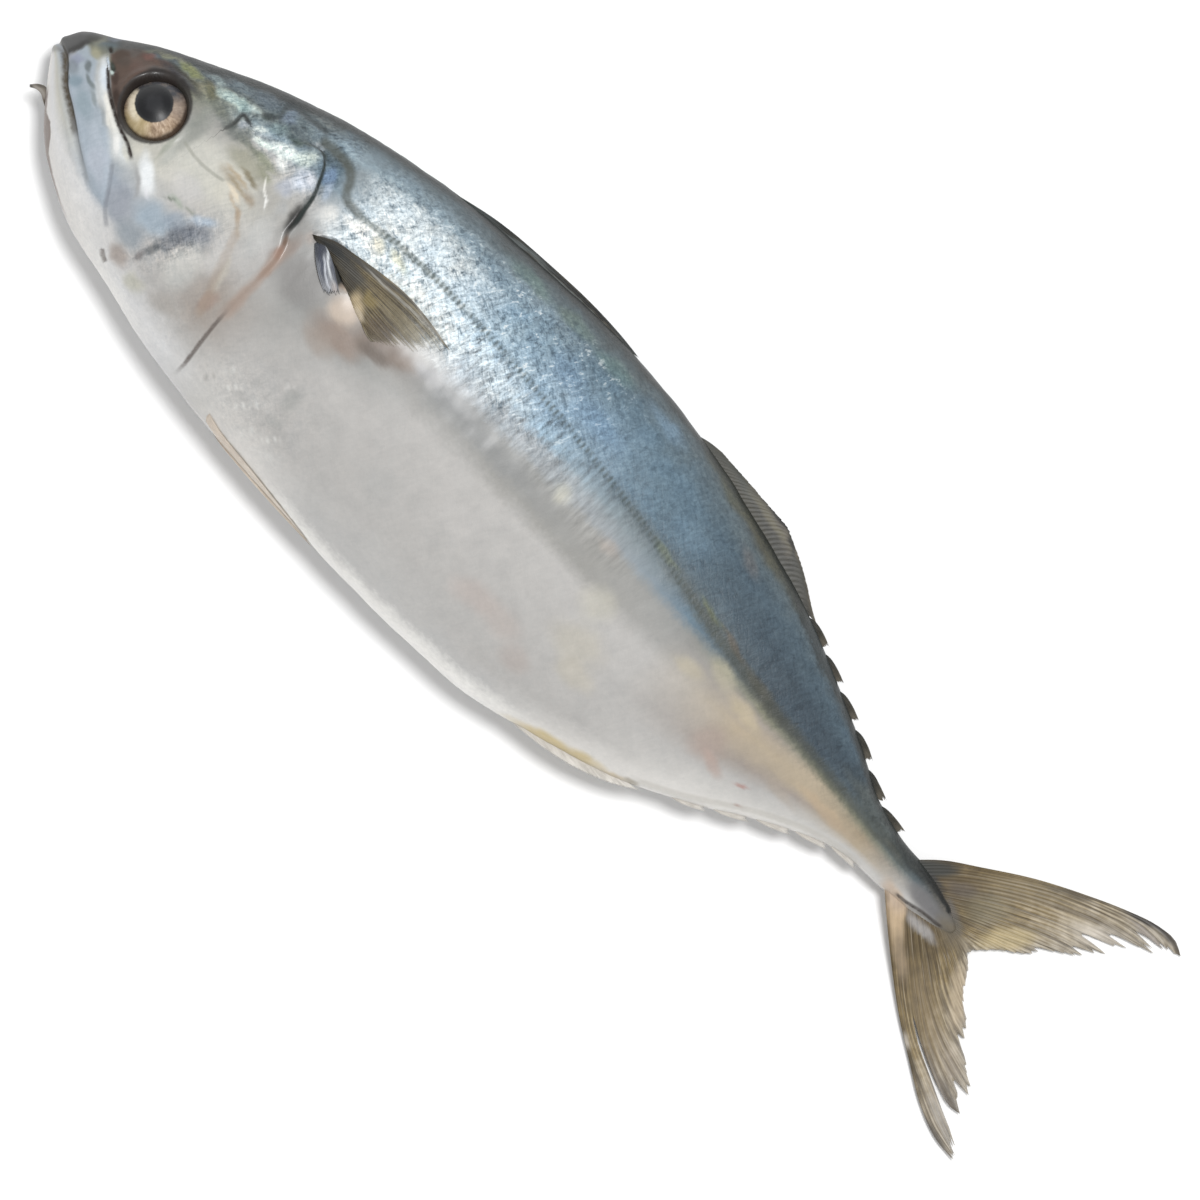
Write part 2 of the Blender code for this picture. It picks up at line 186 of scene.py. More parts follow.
def smooth(points):
    """A smooth function of x through the given (x, value) points."""
    xs, values = np.array(points, float).T
    slopes = np.gradient(values, xs)

    def at(x):
        x = np.clip(x, xs[0], xs[-1])
        i = np.clip(np.searchsorted(xs, x) - 1, 0, len(xs) - 2)
        span = xs[i + 1] - xs[i]
        t = (x - xs[i]) / span
        rise = values[i] + (values[i + 1] - values[i]) * t * t * (3 - 2 * t)
        lean = slopes[i] * t * (1 - t) ** 2 - slopes[i + 1] * t * t * (1 - t)
        return rise + span * lean

    return at


back_edge = smooth(BACK_EDGE)
belly_edge = smooth(BELLY_EDGE)
half_thickness = smooth(HALF_THICKNESS)
room_under = smooth(ROOM_UNDER)


def middle_height(x):
    return half_thickness(x) + room_under(x)


def flank_height(x, y, side=1):
    """Height of the plain flank at (x, y). side is 1 on the left flank and -1 on the right."""
    centre = (back_edge(x) + belly_edge(x)) / 2
    depth = (back_edge(x) - belly_edge(x)) / 2
    bulge = np.sqrt(np.clip(1 - ((y - centre) / depth) ** 2, 0, 1))
    return middle_height(x) + side * half_thickness(x) * bulge


def placed(points):
    """Points of the drawing as places in the frame, in metres."""
    points = np.asarray(points, float)
    shift = np.array((DRAWN_MIDDLE[0], DRAWN_MIDDLE[1], 0))
    return (points - shift) * MM + np.array((MIDDLE.x, MIDDLE.y, LOW.z))


# ---------------------------------------------------------------------------------------------
# Measures over the drawing
# ---------------------------------------------------------------------------------------------
def ease(low, high, value):
    """0 at low, 1 at high, and smooth between them."""
    t = np.clip((value - low) / (high - low), 0, 1)
    return t * t * (3 - 2 * t)


def rounded(points, parts=6):
    """The line through the points with its corners rounded."""
    points = np.array(points, float)
    gone = np.concatenate([[0], np.cumsum(np.hypot(*np.diff(points, axis=0).T[:2]))])
    steps = len(gone) - 1
    wanted = np.interp(np.linspace(0, steps, steps * parts + 1), range(steps + 1), gone)
    return np.stack([smooth(np.stack([gone, c], 1))(wanted) for c in points.T], 1)


def beside(line, x, y):
    """How far (x, y) lies to the left of the line, less than 0 on its right, and how far along it."""
    nearest = np.full(x.shape, np.inf)
    turn = np.ones(x.shape)
    along = np.zeros(x.shape)
    steps = np.diff(line, axis=0)
    lengths = np.hypot(steps[:, 0], steps[:, 1])
    gone = np.concatenate([[0], np.cumsum(lengths)])
    for (ax, ay), (sx, sy), length, before in zip(line, steps, lengths, gone):
        raw = ((x - ax) * sx + (y - ay) * sy) / length ** 2
        t = np.clip(raw, 0, 1)
        dx = x - ax - t * sx
        dy = y - ay - t * sy
        apart = np.hypot(dx, dy)
        closer = apart < nearest
        nearest = np.where(closer, apart, nearest)
        turn = np.where(closer, np.sign(sx * dy - sy * dx + 1e-12), turn)
        along = np.where(closer, (before + t * length) / gone[-1], along)
    return nearest * turn, along


def within(outline, x, y):
    """Distance to the outline, less than 0 inside it."""
    outline = np.array(outline, float)
    closed = np.vstack([outline, outline[:1]])
    apart = np.abs(beside(closed, x, y)[0])
    inside = np.zeros(x.shape, bool)
    for (ax, ay), (bx, by) in zip(closed, closed[1:]):
        crosses = (ay > y) != (by > y)
        where = ax + (y - ay) * (bx - ax) / (by - ay if by != ay else 1e-9)
        inside ^= crosses & (x < where)
    return np.where(inside, -apart, apart)


def lumps(points, size, seed):
    """Smooth random heights from -1 to 1, with lumps of about this size."""
    table = np.random.default_rng(seed).uniform(-1, 1, (32, 32, 32))
    cell = points / size
    base = np.floor(cell).astype(int)
    t = cell - base
    t = t * t * (3 - 2 * t)
    total = 0
    for corner in itertools.product((0, 1), repeat=3):
        i, j, k = np.moveaxis((base + corner) % 32, -1, 0)
        weight = np.prod(np.where(corner, t, 1 - t), axis=-1)
        total = total + weight * table[i, j, k]
    return total


# ---------------------------------------------------------------------------------------------
# Finishes: sums on sockets add the nodes
# ---------------------------------------------------------------------------------------------
LIGHT_GAIN = 1.3  # what a white surface facing up sends back, against what looks white


def pigment(red, green, blue):
    """A colour as it should look under the lights, from its red, green and blue out of 255."""
    parts = [c / 255 for c in (red, green, blue)]
    linear = [c / 12.92 if c <= 0.04045 else ((c + 0.055) / 1.055) ** 2.4 for c in parts]
    return (*[c / LIGHT_GAIN for c in linear], 1)


class Tone:
    """A socket of a finish. Sums on it add Math nodes."""

    def __init__(self, finish, socket):
        self.finish = finish
        self.socket = socket

    def sum(self, operation, *others):
        return self.finish.node("ShaderNodeMath", {"operation": operation}, (self, *others))

    def __add__(self, other):
        return self.sum("ADD", other)

    def __sub__(self, other):
        return self.sum("SUBTRACT", other)

    def __mul__(self, other):
        return self.sum("MULTIPLY", other)

    def __truediv__(self, other):
        return self.sum("DIVIDE", other)

    def __rsub__(self, other):
        return self.finish.node("ShaderNodeMath", {"operation": "SUBTRACT"}, (other, self))

    __radd__ = __add__
    __rmul__ = __mul__

    def size(self):
        return self.sum("ABSOLUTE")

    def most(self, other):
        return self.sum("MAXIMUM", other)

    def least(self, other):
        return self.sum("MINIMUM", other)

    def ease(self, low, high):
        """0 at low, 1 at high, and smooth between them. low may be above high."""
        values = (self, low, high, 0, 1) if low < high else (self, high, low, 1, 0)
        return self.finish.node("ShaderNodeMapRange", {"interpolation_type": "SMOOTHSTEP"}, values)


class Finish:
    """A material made from nodes around one Principled shader."""

    def __init__(self, name, fixed):
        self.material = bpy.data.materials.new(name)
        self.material.use_nodes = True
        self.tree = self.material.node_tree
        self.shader = self.tree.nodes["Principled BSDF"]
        for socket, value in fixed.items():
            self.shader.inputs[socket].default_value = value

    def node(self, kind, settings=None, values=(), output=0):
        """A new node. values are its inputs in order, or a dictionary by name or number."""
        node = self.tree.nodes.new(kind)
        for name, value in (settings or {}).items():
            if name == "stops":
                self.set_stops(node.color_ramp, value)
            else:
                setattr(node, name, value)
        pairs = values.items() if isinstance(values, dict) else enumerate(values)
        for key, value in pairs:
            self.feed(node.inputs[key], value)
        return Tone(self, node.outputs[output])

    def set_stops(self, ramp, stops):
        while len(ramp.elements) < len(stops):
            ramp.elements.new(1)
        for element, (position, colour) in zip(ramp.elements, stops):
            element.position = position
            element.color = colour

    def feed(self, socket, value):
        if isinstance(value, Tone):
            self.tree.links.new(value.socket, socket)
        else:
            socket.default_value = value

    def send(self, name, value):
        self.feed(self.shader.inputs[name], value)

    def field(self, name):
        return self.node("ShaderNodeAttribute", {"attribute_name": name}, output="Fac")

    def fields(self, name):
        vector = self.node("ShaderNodeAttribute", {"attribute_name": name}, output="Vector")
        return [self.node("ShaderNodeSeparateXYZ", None, (vector,), axis) for axis in (0, 1, 2)]

    def place(self):
        """The place on the fish in millimetres."""
        return self.scaled(self.node("ShaderNodeTexCoord", output="Object"), 1 / MM)

    def turned(self, vector, lean, along, across):
        """The place turned by lean degrees, then scaled along and across that direction."""
        turn = (0, 0, -math.radians(lean))
        turned = self.node("ShaderNodeMapping", None, {"Vector": vector, "Rotation": turn})
        return self.vector_sum("MULTIPLY", turned, (along, across, across))

    def grain(self, vector, scale, detail, rough=0.5, swirl=0.0):
        values = {"Vector": vector, "Scale": scale, "Detail": detail, "Roughness": rough}
        return self.node("ShaderNodeTexNoise", None, {**values, "Distortion": swirl})

    def blend(self, share, under, over):
        return self.node("ShaderNodeMix", {"data_type": "RGBA"}, {0: share, 6: under, 7: over}, 2)

    def vector_sum(self, operation, *vectors):
        return self.node("ShaderNodeVectorMath", {"operation": operation}, vectors)

    def scaled(self, vector, by):
        return self.node("ShaderNodeVectorMath", {"operation": "SCALE"}, {0: vector, 3: by})

    def overpainted(self, colour):
        """The colour with the tint of the painted marks over it."""
        tint = self.node("ShaderNodeAttribute", {"attribute_name": "tint"}, output="Vector")
        return self.vector_sum("ADD", self.scaled(colour, 1 - self.field("cover")), tint)

    def join(self, x, y, z=0.0):
        return self.node("ShaderNodeCombineXYZ", None, (x, y, z))

    def ramp(self, value, stops):
        return self.node("ShaderNodeValToRGB", {"stops": stops}, (value,))

    def bump(self, height, strength, distance):
        values = {"Strength": strength, "Distance": distance, "Height": height}
        self.send("Normal", self.node("ShaderNodeBump", None, values))


# ---------------------------------------------------------------------------------------------
# The body
# ---------------------------------------------------------------------------------------------
def ring_stations():
    """(station, how far the ring is drawn in) for each ring, with both ends rounded off."""
    snout = [(-0.92, 0.12), (-0.9, 0.34), (-0.86, 0.55), (-0.8, 0.74), (-0.76, 0.87)]
    head = np.concatenate([np.linspace(-0.7, 1.5, 9)[:-1], np.arange(1.5, HEAD_END, HEAD_STEP)])
    rear = np.linspace(TRUNK_END, BODY_END, 14)
    trunk = np.concatenate([np.arange(HEAD_END, TRUNK_END, TRUNK_STEP), rear])
    tail = [(196.4, 0.8), (196.6, 0.5), (196.7, 0.2)]
    return np.array(snout + [(x, 1) for x in np.concatenate([head, trunk])] + tail)


def plain_body(stations, turns):
    """Points of the plain body on a grid of stations and turns round it."""
    x = stations[:, :1]
    drawn_in = stations[:, 1:]
    centre = (back_edge(x) + belly_edge(x)) / 2
    depth = (back_edge(x) - belly_edge(x)) / 2 * drawn_in
    y = centre + depth * np.cos(turns)
    z = middle_height(x) + half_thickness(x) * drawn_in * np.sin(turns)
    return np.stack([np.broadcast_to(x, y.shape), y, z], -1)


def from_eye_rim(x, y):
    """Distance from the middle of the eye, taken a little short above and below it."""
    return np.hypot(x - EYE[0], (y - EYE[1]) * RIM_SHORTENING)


def outward(points):
    """The direction straight out of the skin at each point of the grid."""
    along = np.gradient(points, axis=0)
    around = np.roll(points, -1, axis=1) - np.roll(points, 1, axis=1)
    normal = np.cross(around, along)
    return normal / np.maximum(np.linalg.norm(normal, axis=-1, keepdims=True), 1e-9)


def relief(x, y, points, lines, plates):
    """How far the skin stands out of the plain body, in millimetres."""
    out = np.zeros(x.shape)

    # The slit of the mouth between its lips, and the gill cover that ends above the skin behind it
    side, along = lines["mouth"]
    out -= MOUTH_DEPTH * np.exp(-(side / 0.5) ** 2) * ease(1, 0.7, along)
    out += 0.2 * np.exp(-((np.abs(side) - 0.9) / 0.5) ** 2) * ease(1, 0.8, along)
    side, along = lines["gill"]
    reach = ease(0, 0.07, along) * ease(1, 0.97, along) * (0.45 + 0.55 * ease(0.5, 0.3, along))
    cover = 1 / (1 + np.exp(np.clip(side / 0.13, -30, 30)))
    out += reach * GILL_COVER_STEP * cover * np.exp(-np.maximum(-side, 0) / 9)
    out -= reach * GILL_COVER_STEP * (1 - cover) * np.exp(-(np.maximum(side, 0) / 1.5) ** 1.5)

    # Creases, the scales of the lateral line and the keels of the tail
    for name, deep, wide in CREASES:
        side, along = lines[name]
        out -= deep * np.exp(-(side / wide) ** 2) * ease(0, 0.1, along) * ease(1, 0.9, along)
    side, along = lines["lateral"]
    dashes = 0.6 + 0.4 * np.sin(2 * math.pi * x / SCALE_STEP)
    out -= SCALE_DEPTH * dashes * np.exp(-(side / 0.45) ** 2) * (x > 49)
    for name in ("upper_keel", "lower_keel"):
        side, along = lines[name]
        out += KEEL_HEIGHT * np.exp(-(side / 0.5) ** 2) * ease(0, 0.2, along) * ease(1, 0.8, along)

    # Plates, the socket and rim of the eye, and the nostrils
    out += 0.3 * ease(0.2, -1.0, plates["upper_jaw"])
    out += 0.25 * ease(0.1, -0.7, plates["bright_strip"])
    out -= 0.35 * ease(0.3, -1.2, plates["eyelid"])
    out -= 1.2 * ease(0.4, -1.4, plates["fin_hollow"])
    from_eye = np.hypot(x - EYE[0], y - EYE[1])
    out -= SOCKET_DEPTH * ease(5.5, 4.4, from_eye)
    out += 0.25 * np.exp(-((from_eye - 6.0) / 0.5) ** 2)
    for spot_x, spot_y, wide in NOSTRILS:
        out -= NOSTRIL_DEPTH * np.exp(-((x - spot_x) ** 2 + (y - spot_y) ** 2) / wide ** 2)

    # The unevenness of flesh and skin, less on the head. It ends before the tip of the snout.
    trunk = ease(46, 60, x)
    out += 0.18 * lumps(points, 11, 3) * (0.4 + 0.6 * trunk) + 0.07 * lumps(points, 3.6, 4)
    out += 0.035 * lumps(points * (1, 0.5, 0.5), 0.9, 5)
    return out * ease(-0.9, 1.0, x + 1.3 * ease(3, -1, y))


def mesh_of(name, points, faces, fields):
    """A mesh from points and faces, with a named field for each measure."""
    mesh = bpy.data.meshes.new(name)
    mesh.from_pydata(placed(points.reshape(-1, 3)), [], faces)
    for field, values in fields.items():
        values = np.asarray(values, np.float32)
        kind = "FLOAT_VECTOR" if values.ndim > 1 and values.shape[-1] == 3 else "FLOAT"
        slot = "vector" if kind == "FLOAT_VECTOR" else "value"
        mesh.attributes.new(field, kind, "POINT").data.foreach_set(slot, values.ravel())
    mesh.shade_smooth()
    mesh.update()
    return mesh


def add_piece(name, mesh, finish, nodes):
    """Puts the piece in the frame, in place of the nodes."""
    piece = bpy.data.objects.new(name, mesh)
    bpy.context.scene.collection.objects.link(piece)
    mesh.materials.append(finish.material)
    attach(piece, "root")
    if nodes:
        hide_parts(*nodes)
    return piece


def ring_faces(rings, corners):
    """Faces between the rings, and a fan that closes each end on its middle point."""
    first = np.arange(rings - 1)[:, None] * corners
    here = np.arange(corners)
    after = (here + 1) % corners
    walls = np.stack([first + here, first + after, first + corners + after, first + corners + here], -1)
    faces = walls.reshape(-1, 4).tolist()
    last = (rings - 1) * corners
    front, behind = rings * corners, rings * corners + 1
    faces += [(i, front, (i + 1) % corners) for i in range(corners)]
    faces += [(last + i, last + (i + 1) % corners, behind) for i in range(corners)]
    return faces


def build_body(finish):
    stations = ring_stations()
    even = 2 * math.pi * np.arange(RING_CORNERS) / RING_CORNERS
    turns = (even + FLANK_CROWDING * np.sin(2 * even))[None, :]
    points = plain_body(stations, turns)
    x, y = points[..., 0], points[..., 1]
    lines = {name: beside(rounded(line), x, y) for name, line in LINES.items()}
    plates = {name: within(outline, x, y) for name, outline in PLATES.items()}
    points = points + outward(points) * relief(x, y, points, lines, plates)[..., None]
    under_fin = (np.sin(turns) < 0) & (within(PECTORAL_OUTLINE, x, y) < 0.6)
    points[..., 2] = np.maximum(points[..., 2], np.where(under_fin, PECTORAL_ROOM, 0.0))
    ends = [points[0].mean(0), points[-1].mean(0)]
    from_back, from_belly = back_edge(x) - y, y - belly_edge(x)
    above = lines["lateral"][0]
    silver = ease(46, 54, x) * ease(112, 84, x) * ease(2, 6, from_back) * ease(4, 9, y)
    head = ease(48, 44, x) * ease(4, 14, x)
    chest = np.exp(-((x - 60) / 9) ** 2 - ((y + 19) / 6) ** 2)
    cheek = np.exp(-((x - 34.8 - 0.35 * (y + 9)) / 2.6) ** 2 - ((y + 9) / 5.5) ** 2)
    upper_side = (1 - silver) * ease(-4, 2, above) * ease(46, 52, x)
    fields = {
        "share": from_belly / (from_back + from_belly),
        "from_back": from_back,
        "from_belly": from_belly,
        "from_eye": from_eye_rim(x, y),
        "silver": silver,
        "lively": 0.06 + 0.94 * silver + 0.45 * upper_side + head * (0.06 + 0.8 * ease(7, 13, y))
        + 0.16 * chest + 0.8 * cheek,
        "striped": ease(55, 66, x) * ease(128, 104, x) * ease(-11, -7, above) * ease(2, -1, above),
    }
    shades = ((plates[name], *rest) for name, *rest in PLATE_COLOURS)
    fields.update(painted(x, y, TRUNK_MARKS + HEAD_MARKS + TAIL_MARKS, shades))
    fields.update({name: np.stack([side, along, 0 * side], -1) for name, (side, along) in lines.items()})
    size = x.size
    fields = {name: values.reshape(size, *values.shape[2:]) for name, values in fields.items()}
    fields = {name: np.concatenate([values, values[:1], values[-1:]]) for name, values in fields.items()}
    corners = np.vstack([points.reshape(-1, 3), ends])
    mesh = mesh_of("body", corners, ring_faces(len(stations), RING_CORNERS), fields)
    return add_piece("skin_and_head", mesh, finish, ["body"])


# ---------------------------------------------------------------------------------------------
# The skin
# ---------------------------------------------------------------------------------------------
RIDGE = pigment(54, 58, 58)
SLATE = pigment(90, 102, 107)
STEEL = pigment(100, 123, 138)
DEEP = pigment(76, 93, 104)
NAVY = pigment(62, 76, 86)
SKY = pigment(145, 163, 173)
SEA = pigment(138, 162, 180)
# the silver of the flank with its bright sheen painted in: painted reflection of the lights
SILVER_SHEEN = pigment(216, 226, 230)
# the white of the painted glints
GLINT_WHITE = pigment(238, 243, 242)
CREAM = pigment(206, 204, 193)
SAND = pigment(182, 168, 146)
TAN = pigment(160, 146, 124)
SMOKE = pigment(148, 149, 147)
ASH = pigment(164, 163, 160)
PEARL = pigment(189, 187, 184)
MILK = pigment(212, 210, 206)
# lighter than the belly towards its edge: partly painted light where the belly turns from the lamps
LIGHT = pigment(240, 237, 232)
CHALK = pigment(228, 228, 228)
# whiter than white: painted light on the belly's edge, where it turns from the lamps and takes the
# table's light
PAINTED_EDGE_LIGHT = pigment(262, 260, 255)
DUSK = pigment(119, 121, 122)
RAIN = pigment(150, 156, 160)
HAZE = pigment(160, 171, 178)
LAKE = pigment(142, 166, 182)
ICE = pigment(162, 184, 198)
DOVE = pigment(138, 139, 138)
DRAB = pigment(154, 153, 149)
BONE = pigment(199, 198, 196)
FOG = pigment(134, 146, 151)
STONE = pigment(102, 98, 92)
FLINT = pigment(116, 116, 118)
BLUSH = pigment(164, 155, 147)
OLIVE = pigment(128, 128, 110)
INK = pigment(40, 42, 42)
STONE_BLUE = pigment(168, 178, 189)

# At each station along the fish, the colours down the flank from the back: (y, colour). The bright band
# of silver is painted reflection, and the whitened edge of the belly is partly painted light.
FLANK = [
    (6, [
        (7, RIDGE), (5.8, SLATE), (3.5, OLIVE), (0, ASH), (-4, STONE_BLUE), (-6.5, CREAM), (-8, CHALK),
        (-10, LIGHT),
    ]),
    (20, [
        (14.9, RIDGE), (14, RIDGE), (12.6, SLATE), (11, OLIVE), (9, OLIVE), (5, SMOKE), (-3, CREAM),
        (-9, STONE_BLUE), (-12.5, STONE_BLUE), (-14, CHALK), (-19, LIGHT),
    ]),
    (34, [
        (20.8, RIDGE), (19.6, RIDGE), (18, SLATE), (15.6, SLATE), (13.4, SKY), (10.5, PEARL),
        (6, CREAM), (1, CREAM), (-4, PEARL), (-9, PEARL), (-16, PEARL), (-20, CHALK), (-22.5, PAINTED_EDGE_LIGHT),
    ]),
    (45, [
        (24, RIDGE), (22.6, SLATE), (20.2, SKY), (18, SLATE), (14, STEEL), (10, PEARL), (6, ASH),
        (3, ASH), (0, PEARL), (-5, PEARL), (-10, BLUSH), (-15, BLUSH), (-18.5, PEARL), (-22, CHALK),
        (-24, CHALK),
    ]),
    (54, [
        (26.2, RIDGE), (24.4, SLATE), (22, SKY), (20, SILVER_SHEEN), (15.8, SILVER_SHEEN), (12.5, SILVER_SHEEN), (9.5, SILVER_SHEEN),
        (7, ASH), (4, SMOKE), (0, SMOKE), (-6, ASH), (-14, PEARL), (-22, MILK), (-26, MILK),
    ]),
    (66, [
        (27.6, RIDGE), (25.4, SLATE), (23, SKY), (20, SILVER_SHEEN), (16.4, SILVER_SHEEN), (14.6, SILVER_SHEEN), (12, SILVER_SHEEN),
        (9, CREAM), (3, BLUSH), (-2, SMOKE), (-7, PEARL), (-20, PEARL), (-26.5, LIGHT),
    ]),
    (80, [
        (28.3, RIDGE), (26.4, SLATE), (23.4, SKY), (20, LAKE), (16.4, ICE), (14.6, ICE), (11.5, SILVER_SHEEN),
        (8, HAZE), (6, RAIN), (4.6, DUSK), (3, DUSK), (1.5, DOVE), (-0.5, ASH), (-3, PEARL),
        (-18, PEARL), (-25.4, BONE), (-27.5, PAINTED_EDGE_LIGHT),
    ]),
    (96, [
        (28.6, RIDGE), (26.6, SLATE), (23, STEEL), (17, SEA), (13, SEA), (10, LAKE), (8, RAIN),
        (6, RAIN), (4.5, SMOKE), (3, DOVE), (1.5, DOVE), (0, DRAB), (-2.5, PEARL), (-18, PEARL),
        (-25.4, BONE), (-27.7, PAINTED_EDGE_LIGHT),
    ]),
    (115, [
        (26.7, RIDGE), (25, SLATE), (20, STEEL), (13, STEEL), (11, SLATE), (8.4, FOG), (6, RAIN),
        (4.5, DRAB), (1.5, DRAB), (-0.5, DRAB), (-3, PEARL), (-22, PEARL), (-24.6, BONE), (-26.7, PAINTED_EDGE_LIGHT),
    ]),
    (132, [
        (22.6, RIDGE), (20.6, SLATE), (17, DEEP), (11.5, DEEP), (8, SLATE), (5.6, STEEL), (3.6, SMOKE),
        (0, ASH), (-3, PEARL), (-6, PEARL), (-18, PEARL), (-23, LIGHT),
    ]),
    (150, [
        (17, SLATE), (14, DEEP), (10, NAVY), (6.6, NAVY), (4.8, RIDGE), (3.4, OLIVE), (2, BLUSH),
        (-1, SAND), (-6, BLUSH), (-9, PEARL), (-12, MILK), (-15.6, LIGHT),
    ]),
    (164, [
        (10.8, RIDGE), (9.6, DEEP), (7, NAVY), (3.8, NAVY), (2.8, OLIVE), (1.6, SAND), (-1, SAND),
        (-2.4, BLUSH), (-4, PEARL), (-6, MILK), (-8, LIGHT),
    ]),
    (176, [
        (5.6, RIDGE), (3.8, RIDGE), (2.6, SLATE), (1.6, OLIVE), (0.4, TAN), (-1.2, SAND), (-2.4, MILK),
        (-3.6, LIGHT),
    ]),
    (187, [(4, INK), (2.6, RIDGE), (1.4, SLATE), (0, ASH), (-1, PEARL), (-2.8, MILK)]),
    (193, [(2.6, STONE), (1.4, STONE), (0, FLINT), (-1, ASH), (-2, PEARL)]),
]

PLATE_COLOURS = [
    ("eyelid", (88, 70, 61), 0.95, 0.3), ("upper_jaw", (168, 180, 191), 0.85, 0.5),
    ("bright_strip", (224, 228, 228), 0.9, 0.8), ("snout_cap", (62, 63, 63), 0.95, 0.3),
    # painted shade: the hollow at the root of the pectoral fin is dark where the fin and its flap shade
    # it
    ("fin_hollow", (54, 55, 54), 0.92, 0.3),
]

